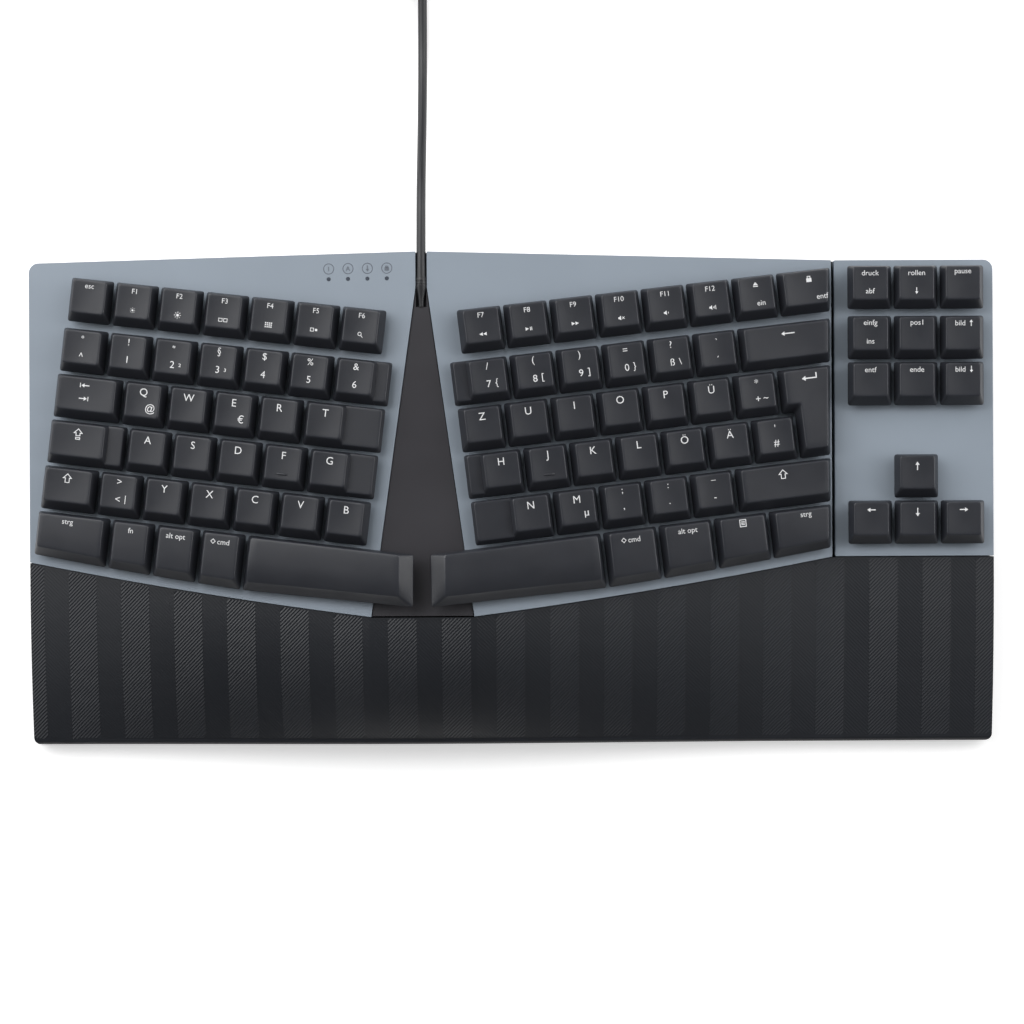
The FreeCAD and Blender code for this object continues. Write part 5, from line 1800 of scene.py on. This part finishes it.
class Pattern(NodeTree):
    """A Geometry Nodes tree with named sizes, run once into a plain mesh."""

    def __init__(self, name: str) -> None:
        """Starts a tree.

        Args:
            name: The tree's name.
        """
        self.tree = bpy.data.node_groups.new(name, "GeometryNodeTree")
        self.enter, self.leave = self.node("NodeGroupInput"), self.node("NodeGroupOutput")
        for way in ("INPUT", "OUTPUT"):
            self.socket("Geometry", way, "NodeSocketGeometry")
        self.sizes: dict[str, float] = {}

    def socket(self, name: str, way: str, kind: str) -> str:
        """Adds a socket to the tree's ends and returns its identifier."""
        made = self.tree.interface.new_socket(name, in_out=way, socket_type=kind)
        return made.identifier

    def size(self, name: str, value: float) -> Socket:
        """Adds a named size to the tree's inputs.

        Args:
            name: The size's name.
            value: Its value in metres, or a count.

        Returns:
            The size's socket inside the tree.
        """
        kind = "NodeSocketInt" if isinstance(value, int) else "NodeSocketFloat"
        self.sizes[self.socket(name, "INPUT", kind)] = value
        return self.enter.outputs[name]

    def vector(self, x: object = 0.0, y: object = 0.0, z: object = 0.0) -> Socket:
        """Combines three values into a vector."""
        return self.add("ShaderNodeCombineXYZ", {"X": x, "Y": y, "Z": z})

    def moved(self, geometry: Socket, **values: object) -> Socket:
        """Moves, turns or scales geometry."""
        return self.add("GeometryNodeTransform", {"Geometry": geometry, **values})

    def rod(self, radius: object, depth: object, sides: int) -> Socket:
        """Makes an upright cylinder around the origin."""
        values = {"Vertices": sides, "Radius": radius, "Depth": depth}
        return self.add("GeometryNodeMeshCylinder", values)

    def block(self, x: object, y: object, z: object) -> Socket:
        """Makes a block around the origin."""
        return self.add("GeometryNodeMeshCube", {"Size": self.vector(x, y, z)})

    def circle(self, radius: Socket, sides: int) -> Socket:
        """Makes a round path around the origin."""
        values = {"Resolution": sides, "Radius": radius}
        return self.add("GeometryNodeCurvePrimitiveCircle", values)

    def row(self, count: object, start: Vector, step: object) -> Socket:
        """Makes a row of points."""
        values = {"Count": count, "Start Location": start, "Offset": step}
        return self.add("GeometryNodeMeshLine", values)

    def run(
        self,
        name: str,
        instance: Socket,
        finish: Finish,
        spots: list[Vector],
        points: Socket | None = None,
    ) -> bpy.types.Object:
        """Repeats geometry over points and turns the result into a plain piece.

        Args:
            name: The piece's name.
            instance: What repeats.
            finish: The finish.
            spots: Points that the tree starts from.
            points: Points made inside the tree, where it doesn't use those.

        Returns:
            The piece, with no modifier left on it.
        """
        values = {"Points": self.enter.outputs[0] if points is None else points}
        repeated = self.add("GeometryNodeInstanceOnPoints", values | {"Instance": instance})
        plain = self.add("GeometryNodeRealizeInstances", {"Geometry": repeated})
        values = {"Geometry": plain, "Material": Paints.of(finish)}
        self.put(self.leave.inputs[0], self.add("GeometryNodeSetMaterial", values))
        holder = bpy.data.objects.new(f"{name}_spots", plain_mesh(f"{name}_spots", spots, []))
        bpy.context.scene.collection.objects.link(holder)
        modifier = holder.modifiers.new("pattern", "NODES")
        modifier.node_group = self.tree
        for identifier, value in self.sizes.items():
            modifier[identifier] = value
        bpy.context.view_layer.update()
        state = holder.evaluated_get(bpy.context.evaluated_depsgraph_get())
        mesh = bpy.data.meshes.new_from_object(state)
        bpy.data.objects.remove(holder)
        return new_piece(name, mesh, finish)


def solid_boxes(node: bpy.types.Object) -> list[tuple[Vector, ...]]:
    """Measures the separate solids of a node.

    Args:
        node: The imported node.

    Returns:
        The lowest and highest corner of each.
    """
    work = opened(node)
    boxes = [extent(island) for island in islands(work)]
    work.free()
    return boxes


@dataclass
class Fasteners:
    """The case screws, each with a crossed recess in its head."""

    nodes: dict[str, bpy.types.Object]
    head_radius: float = 2.35 * MM
    head_height: float = 1.35 * MM
    shank_radius: float = 1.2 * MM
    recess_width: float = 0.75 * MM
    recess_depth: float = 0.9 * MM
    recess_span: float = 1.3
    head_sides: int = 32
    shank_sides: int = 16

    def build(self) -> None:
        """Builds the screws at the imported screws' places."""
        boxes = solid_boxes(self.nodes["case_screws"])
        spots = [Vector(((lo.x + hi.x) / 2, (lo.y + hi.y) / 2, lo.z)) for lo, hi in boxes]
        reach = min(hi.z - lo.z for lo, hi in boxes)
        pattern = Pattern("screws")
        radius = pattern.size("Head radius", self.head_radius)
        height = pattern.size("Head height", self.head_height)
        slot = pattern.size("Recess width", self.recess_width)
        half = self.head_height / 2
        head = pattern.rod(radius, height, self.head_sides)
        head = pattern.moved(head, Translation=(0, 0, half))
        carve = pattern.node("GeometryNodeMeshBoolean", operation="DIFFERENCE", solver="EXACT")
        pattern.put(carve.inputs["Mesh 1"], head)
        span = self.head_radius * self.recess_span
        for sides in ((span, slot), (slot, span)):
            pattern.put(carve.inputs["Mesh 2"], pattern.block(*sides, self.recess_depth * 2))
        length = pattern.size("Shank length", reach)
        radius = pattern.size("Shank radius", self.shank_radius)
        shank = pattern.rod(radius, length, self.shank_sides)
        joined = pattern.node("GeometryNodeJoinGeometry")
        for part in (pattern.moved(shank, Translation=(0, 0, reach / 2 + half)), carve.outputs[0]):
            pattern.put(joined.inputs[0], part)
        piece = pattern.run("case_screws_dressed", joined.outputs[0], STEEL, spots)
        settle(piece, KEYBOARD, ["case_screws"])


@dataclass
class Indicators:
    """The printed marks behind the indicator windows."""

    nodes: dict[str, bpy.types.Object]
    mark_radius: float = 2.1 * MM
    line: float = 0.16 * MM
    distance: float = 4.2 * MM
    sunk: float = 0.1 * MM
    flatness: float = 0.35
    height: float = 1.9 * MM
    lift: float = 0.14 * MM
    signs: tuple[str | Icon, ...] = ("1", "A", Icon.DOWN, Icon.LOCK)

    def build(self) -> None:
        """Builds the rings with a sign in each, on the left deck's slope."""
        boxes = sorted(solid_boxes(self.nodes["light_pipes"]), key=lambda ends: ends[0].x)
        tops = [Vector(((lo.x + hi.x) / 2, (lo.y + hi.y) / 2, hi.z)) for lo, hi in boxes]
        rise = (tops[-1] - tops[0]).normalized()
        slope = math.asin(rise.z)
        spots = [top + Vector((0, self.distance, -self.sunk)) for top in tops]
        pattern = Pattern("indicator_rings")
        path = pattern.circle(pattern.size("Mark radius", self.mark_radius), 32)
        profile = pattern.circle(pattern.size("Line", self.line), 6)
        ring = pattern.add("GeometryNodeCurveToMesh", {"Curve": path, "Profile Curve": profile})
        ring = pattern.moved(ring, Rotation=(0, -slope, 0), Scale=(1, 1, self.flatness))
        settle(pattern.run("indicator_rings", ring, MARK_PAINT, spots), KEYBOARD)
        writer = SignWriter()
        points: list[Vector] = []
        faces: list[tuple[int, ...]] = []
        tilt = Matrix.Rotation(-slope, 3, "Y")
        for spot, text in zip(spots, self.signs):
            flat, shapes = writer.flat(text)
            scale = self.height / writer.capital
            base = len(points)
            points += [spot + tilt @ Vector((p.x * scale, p.y * scale, self.lift)) for p in flat]
            faces += [tuple(base + i for i in shape) for shape in shapes]
        writer.close()
        mesh = plain_mesh("indicator_signs", points, faces)
        settle(new_piece("indicator_signs", mesh, MARK_PAINT), KEYBOARD)


@dataclass
class Tie:
    """The strap around the coil."""

    thickness: float = 0.8 * MM
    corner: float = 2.8 * MM

    def build(self) -> bpy.types.Object:
        """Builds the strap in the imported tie's place.

        Returns:
            The piece.
        """
        low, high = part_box("cable_tie")
        places = (low.x, low.z), (high.x, low.z), (high.x, high.z), (low.x, high.z)
        corners = [Vector(place) for place in places]
        outer = rounded_loop(corners, self.corner)
        inner = rounded_loop(moved_in(corners, [self.thickness] * 4), self.corner - self.thickness)
        points = [
            Vector((spot.x, across, spot.y))
            for across in (low.y, high.y)
            for loop in (outer, inner)
            for spot in loop
        ]
        count = len(outer)
        rings = (0, 2 * count, 3 * count, count)
        faces = []
        for number, near in enumerate(rings):
            far = rings[(number + 1) % 4]
            for i in range(count):
                j = (i + 1) % count
                faces.append((near + i, near + j, far + j, far + i))
        mesh = plain_mesh("cable_tie_dressed", points, faces)
        mesh.shade_smooth()
        mesh.set_sharp_from_angle(angle=CREASE)
        piece = new_piece("cable_tie_dressed", mesh, STRAP)
        return settle(piece, KEYBOARD, ["cable_tie"])


def sleeve(name: str, rings: list[list[Vector]]) -> bpy.types.Mesh:
    """Joins rings of points into a closed skin with flat ends.

    Args:
        name: The mesh's name.
        rings: The rings from the rear to the front, each with the same number of points.

    Returns:
        The mesh.
    """
    count, last = len(rings[0]), (len(rings) - 1) * len(rings[0])
    faces = [tuple(reversed(range(count))), tuple(range(last, last + count))]
    for near in range(0, last, count):
        for i in range(count):
            j = (i + 1) % count
            faces.append((near + i, near + j, near + count + j, near + count + i))
    mesh = plain_mesh(name, [point for ring in rings for point in ring], faces)
    mesh.shade_smooth()
    mesh.set_sharp_from_angle(angle=SLEEVE_CREASE)
    return mesh


def cable_exit() -> Vector:
    """Returns the place where the cable leaves its strain relief."""
    low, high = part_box("strain_relief")
    return Vector(((low.x + high.x) / 2, high.y, (low.z + high.z) / 2))


@dataclass
class StrainRelief:
    """The ribbed sleeve around the cable's end, with its rings in millimetres from its mouth."""

    sides: int = 28
    backs: tuple[float, ...] = (
        0.0, 0.0, 0.25, 1.1, 1.2, 1.6, 1.7, 2.5, 2.6, 3.0, 3.1, 4.0, 6.0, 9.0, 11.9, 11.9
    )
    radii: tuple[float, ...] = (
        1.75, 1.95, 2.12, 2.15, 1.98, 1.98, 2.15, 2.15, 1.98, 1.98, 2.15, 2.1, 1.6, 1.1, 0.9, 0.1
    )

    def build(self) -> None:
        """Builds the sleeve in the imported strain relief's place."""
        turns = [2 * math.pi * number / self.sides for number in range(self.sides)]
        rings = []
        for back, radius in zip(self.backs, self.radii, strict=True):
            spots = [(radius * math.cos(turn), -back, radius * math.sin(turn)) for turn in turns]
            rings.append([cable_exit() + Vector(spot) * MM for spot in spots])
        piece = new_piece("strain_relief_dressed", sleeve("strain_relief_dressed", rings), JACKET)
        settle(piece, KEYBOARD, ["strain_relief"])


@dataclass
class FootTip:
    """The ribbed rubber tip of a tilt foot, with its rings in millimetres from the foot's end."""

    side: str
    corner: float = 0.9 * MM
    alongs: tuple[float, ...] = (
        -0.2, -0.1, 0.3, 1.2, 1.35, 1.75, 1.9, 2.7, 2.85, 3.25, 3.4, 4.6, 4.8, 4.8
    )
    insets: tuple[float, ...] = (
        0.7, 0.25, -0.15, -0.15, 0.1, 0.1, -0.15, -0.15, 0.1, 0.1, -0.15, -0.15, 0.05, 0.3
    )

    def build(self) -> None:
        """Builds the tip around the free end of the folded foot."""
        node = f"tilt_foot_{self.side}"
        low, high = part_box(node)
        middle = Vector((low.x + high.x, low.z + high.z)) / 2
        half = Vector((high.x - low.x, high.z - low.z)) / 2
        rings = []
        for along, inset in zip(self.alongs, self.insets, strict=True):
            reach = half - Vector((inset, inset)) * MM
            loop = rounded_loop(rectangle(middle, reach), self.corner)
            rings.append([Vector((spot.x, low.y + along * MM, spot.y)) for spot in loop])
        name = f"foot_tip_{self.side}"
        settle(new_piece(name, sleeve(name, rings[::-1]), RUBBER), node)


@dataclass
class Plug:
    """The plug at the cable's far end."""

    nodes: dict[str, bpy.types.Object]
    ribs: int = 5
    rib_distance: float = 2.4 * MM
    rib_radius: float = 0.4 * MM
    rib_start: float = 7 * MM
    rib_sunk: float = 0.1 * MM
    rib_margins: float = 5 * MM
    window_side: float = 2.4 * MM
    window_start: float = 6.2 * MM
    window_inset: float = 3.4 * MM
    window_depth: float = 0.04 * MM
    contact_length: float = 7 * MM
    contact_width: float = 1.1 * MM
    contact_depth: float = 0.12 * MM
    contact_start: float = 4 * MM
    contact_lift: float = 0.02 * MM
    contact_spread: float = 4.6

    def build(self) -> list[bpy.types.Object]:
        """Builds the plug.

        Returns:
            Its pieces.
        """
        grip = Shell("plug_grip", PLUG, "plug", edge=0.5 * MM, segments=3).build(self.nodes)
        shell = Shell("plug_shell", NICKEL, "contact_shell", edge=0.1 * MM).build(self.nodes)
        trim = [self.grip_ribs(), self.shell_window_shades(), self.contacts()]
        return [grip, shell, self.nodes["plug_tongue"], *trim]

    def grip_ribs(self) -> bpy.types.Object:
        """Builds the ribs across the grip.

        Returns:
            The piece.
        """
        low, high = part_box("plug_grip")
        pattern = Pattern("grip_ribs")
        step = pattern.vector(pattern.size("Rib distance", self.rib_distance))
        middle = (low.y + high.y) / 2
        start = Vector((low.x + self.rib_start, middle, high.z - self.rib_sunk))
        row = pattern.row(pattern.size("Ribs", self.ribs), start, step)
        width = high.y - low.y - self.rib_margins
        rib = pattern.rod(pattern.size("Rib radius", self.rib_radius), width, 12)
        rib = pattern.moved(rib, Rotation=(math.pi / 2, 0, 0))
        piece = pattern.run("plug_grip_ribs", rib, PLUG, [start], row)
        return settle(piece, KEYBOARD)

    def shell_window_shades(self) -> bpy.types.Object:
        """Builds two thin dark tiles on the top of the shell, painted shade where its two openings
        are.

        Returns:
            The piece.
        """
        low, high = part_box("plug_shell")
        pattern = Pattern("shell_window_shades")
        side = pattern.size("Window side", self.window_side)
        start = Vector((low.x + self.window_start, low.y + self.window_inset, high.z))
        row = pattern.row(2, start, (0, high.y - low.y - 2 * self.window_inset, 0))
        tile = pattern.block(side, side, self.window_depth)
        # Painted shade: dark tiles stand for the shade inside the openings.
        piece = pattern.run("plug_shell_windows", tile, SWITCH, [start], row)
        return settle(piece, KEYBOARD)

    def contacts(self) -> bpy.types.Object:
        """Builds the four contacts on the tongue.

        Returns:
            The piece.
        """
        low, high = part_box("plug_tongue")
        pattern = Pattern("contacts")
        step = (high.y - low.y) / self.contact_spread
        first = (low.y + high.y) / 2 - 1.5 * step
        start = Vector((low.x + self.contact_start, first, high.z + self.contact_lift))
        width = pattern.size("Contact width", self.contact_width)
        strip = pattern.block(self.contact_length, width, self.contact_depth)
        row = pattern.row(4, start, (0, step, 0))
        piece = pattern.run("plug_contacts", strip, GOLD, [start], row)
        return settle(piece, KEYBOARD)


Route = tuple[tuple[float, float | None], ...]


@dataclass
class Cable:
    """The cable from its strain relief over the desk into a tied coil and its plug."""

    nodes: dict[str, bpy.types.Object]
    thickness: float = 3.8 * MM
    lead_route: Route = ((0.0, None), (31.0, None), (60.0, 17.0), (92.0, 2.4))
    tail_route: Route = ((21.0, None), (46.0, 7.0), (70.0, 4.0), (90.0, 4.0))
    coil_distance: float = 146.0 * MM
    coil_radius: float = 22.4 * MM
    coil_pitch: float = 4.42 * MM
    coil_level: float = 3.0 * MM
    layer_turns: float = 2.75
    layers: int = 4
    points_a_turn: int = 16
    lead_in: float = 29 * MM
    last_turn: float = 0.25
    length: float = 1.85

    def __post_init__(self) -> None:
        """Reads the cable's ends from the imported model."""
        self.exit = cable_exit()
        self.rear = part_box("navigation_deck")[1].y
        self.outside = self.coil_radius + self.coil_pitch * self.layer_turns / 2
        self.centre = Vector((self.exit.x - self.outside, self.rear + self.coil_distance))

    def coil_point(self, turn: float) -> Vector:
        """Returns a point of the coil.

        Args:
            turn: The turns wound so far.

        Returns:
            The point.
        """
        inward = turn % (2 * self.layer_turns)
        wound = self.layers * self.layer_turns
        radius = self.outside - self.coil_pitch * min(inward, 2 * self.layer_turns - inward)
        if turn > wound:
            radius = self.outside + (turn - wound) * self.coil_pitch
        climbs = [(turn - change * self.layer_turns) * 2 + 0.5 for change in range(1, self.layers)]
        layer = sum(min(max(climb, 0.0), 1.0) for climb in climbs)
        angle = 2 * math.pi * turn
        x = self.centre.x + radius * math.cos(angle)
        y = self.centre.y + radius * math.sin(angle)
        return Vector((x, y, self.coil_level + layer * self.coil_pitch))

    def route(self) -> list[Vector]:
        """Returns the cable's points, from the strain relief to the plug.

        Returns:
            The control points of its line.
        """
        points = []
        for along, height in self.lead_route:
            z = self.exit.z if height is None else height * MM
            points.append(Vector((self.exit.x, self.exit.y + along * MM, z)))
        coil_start = self.centre.y - self.thickness
        points.append(Vector((self.exit.x, coil_start - self.lead_in, self.coil_level)))
        points.append(Vector((self.exit.x, coil_start, self.coil_level)))
        turns = self.layers * self.layer_turns + self.last_turn
        count = round(turns * self.points_a_turn)
        points += [self.coil_point(step / self.points_a_turn) for step in range(count + 1)]
        end = points[-1]
        for along, height in self.tail_route:
            z = end.z if height is None else height * MM
            points.append(Vector((end.x - self.thickness - along * MM, end.y, z)))
        return points

    def line(self) -> bpy.types.Object:
        """Builds the cable itself.

        Returns:
            The cable as a round curve.
        """
        curve = bpy.data.curves.new("cable", "CURVE")
        curve.dimensions = "3D"
        spline = curve.splines.new("NURBS")
        points = self.route()
        spline.points.add(len(points) - 1)
        for spot, point in zip(spline.points, points):
            spot.co = (*point, 1.0)
        spline.order_u = 3
        spline.use_endpoint_u = True
        spline.resolution_u = 4
        curve.bevel_depth = self.thickness / 2
        curve.bevel_resolution = 3
        curve.use_fill_caps = True
        paint(curve, JACKET)
        cable = bpy.data.objects.new("cable", curve)
        bpy.context.scene.collection.objects.link(cable)
        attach(cable, KEYBOARD)
        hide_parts("cable_lead", "cable_coil", "cable_tail")
        LOG.info("piece %s with %d points", cable.name, len(points))
        return cable

    def build(self) -> None:
        cable = self.line()
        tie = Tie().build()
        plug = Plug(self.nodes).build()


@dataclass
class Shells:
    """The decks, the case, the palm rest and the other moulded shells."""

    nodes: dict[str, bpy.types.Object]

    def build(self) -> None:
        """Dresses every shell, and paints the nodes whose shape is right as packed."""
        for node in ("left_deck", "right_deck", "navigation_deck"):
            Shell(node, DECK, "deck", edge=0.4 * MM).build(self.nodes)
        Shell("centre_spine", SPINE, "spine", edge=0.4 * MM).build(self.nodes)
        Shell("bottom_case", CASE, "case", edge=0.3 * MM).build(self.nodes)
        Shell("palm_rest", PALM, "palm", edge=0.0).build(self.nodes)
        PalmRibs(self.nodes, PALM).build()
        Shell("rubber_feet", RUBBER, "rubber", edge=0.3 * MM).build(self.nodes)
        for side in SIDES:
            node = f"tilt_foot_{side}"
            Shell(node, CASE, "case", body=node, edge=0.35 * MM).build(self.nodes)
            FootTip(side).build()
        kept = {f"{side}_switches": SWITCH for side in (*SIDES, "navigation")}
        kept |= {"circuit_boards": LACQUER, "controller_chip": CHIP, "light_pipes": WINDOW}
        kept |= {"tilt_foot_pins": STEEL, "plug_tongue": TONGUE}
        for node, finish in kept.items():
            paint(self.nodes[node].data, finish)


@dataclass
class Lamp:
    """A soft square lamp."""

    name: str
    place: tuple[float, float, float]
    side: float
    watts: float


@dataclass
class Studio:
    """The floor, the light and the camera."""

    floor_reach: float = 6.0
    camera_height: float = 1.25
    camera_y: float = -0.005
    lens: float = 104.7
    sensor: float = 36.0
    roll: float = math.radians(-0.27)
    lamps: tuple[Lamp, ...] = (
        Lamp("lamp_rear_left", (-0.7, 0.75, 0.85), 1.2, 15.0),
        Lamp("lamp_rear_right", (0.85, 0.65, 0.8), 1.0, 7.5),
        Lamp("lamp_left", (-1.1, 0.1, 0.55), 0.7, 3.5),
        Lamp("lamp_right", (1.1, 0.0, 0.5), 0.6, 4.5),
    )
    sky: float = 0.14

    def build(self) -> None:
        """Builds the studio."""
        self.floor()
        self.light()
        self.camera()

    def floor(self) -> None:
        """Builds a wide pale floor."""
        corners = rectangle(Vector((0.0, 0.0)), Vector((self.floor_reach, self.floor_reach)))
        mesh = plain_mesh("floor", [corner.to_3d() for corner in corners], [(0, 1, 2, 3)])
        new_piece("floor", mesh, FLOOR)

    def light(self) -> None:
        """Sets the lamps and the sky."""
        for lamp in self.lamps:
            data = bpy.data.lights.new(lamp.name, "AREA")
            data.shape = "SQUARE"
            data.size = lamp.side
            data.energy = lamp.watts
            made = bpy.data.objects.new(lamp.name, data)
            made.location = lamp.place
            made.rotation_euler = (-Vector(lamp.place)).to_track_quat("-Z", "Y").to_euler()
            bpy.context.scene.collection.objects.link(made)
        world = bpy.data.worlds.new("sky")
        world.use_nodes = True
        shade = world.node_tree.nodes["Background"]
        shade.inputs["Color"].default_value = WHITE
        shade.inputs["Strength"].default_value = self.sky
        bpy.context.scene.world = world

    def camera(self) -> None:
        """Looks straight down, as the photograph does."""
        data = bpy.data.cameras.new("camera")
        data.lens = self.lens
        data.sensor_width = self.sensor
        made = bpy.data.objects.new("camera", data)
        made.location = (0.0, self.camera_y, self.camera_height)
        made.rotation_euler = (0.0, 0.0, self.roll)
        bpy.context.scene.collection.objects.link(made)
        bpy.context.scene.camera = made
        bpy.context.scene.view_settings.view_transform = "Standard"


def main() -> None:
    """Builds the studio and every piece, in order."""
    logging.basicConfig(level=logging.INFO, format="%(message)s")
    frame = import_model()
    Studio().build()
    Shells(frame["nodes"]).build()
    StrainRelief().build()
    Cable(frame["nodes"]).build()
    Fasteners(frame["nodes"]).build()
    Indicators(frame["nodes"]).build()
    KeySet(frame).build()


if __name__ == "__main__":
    main()
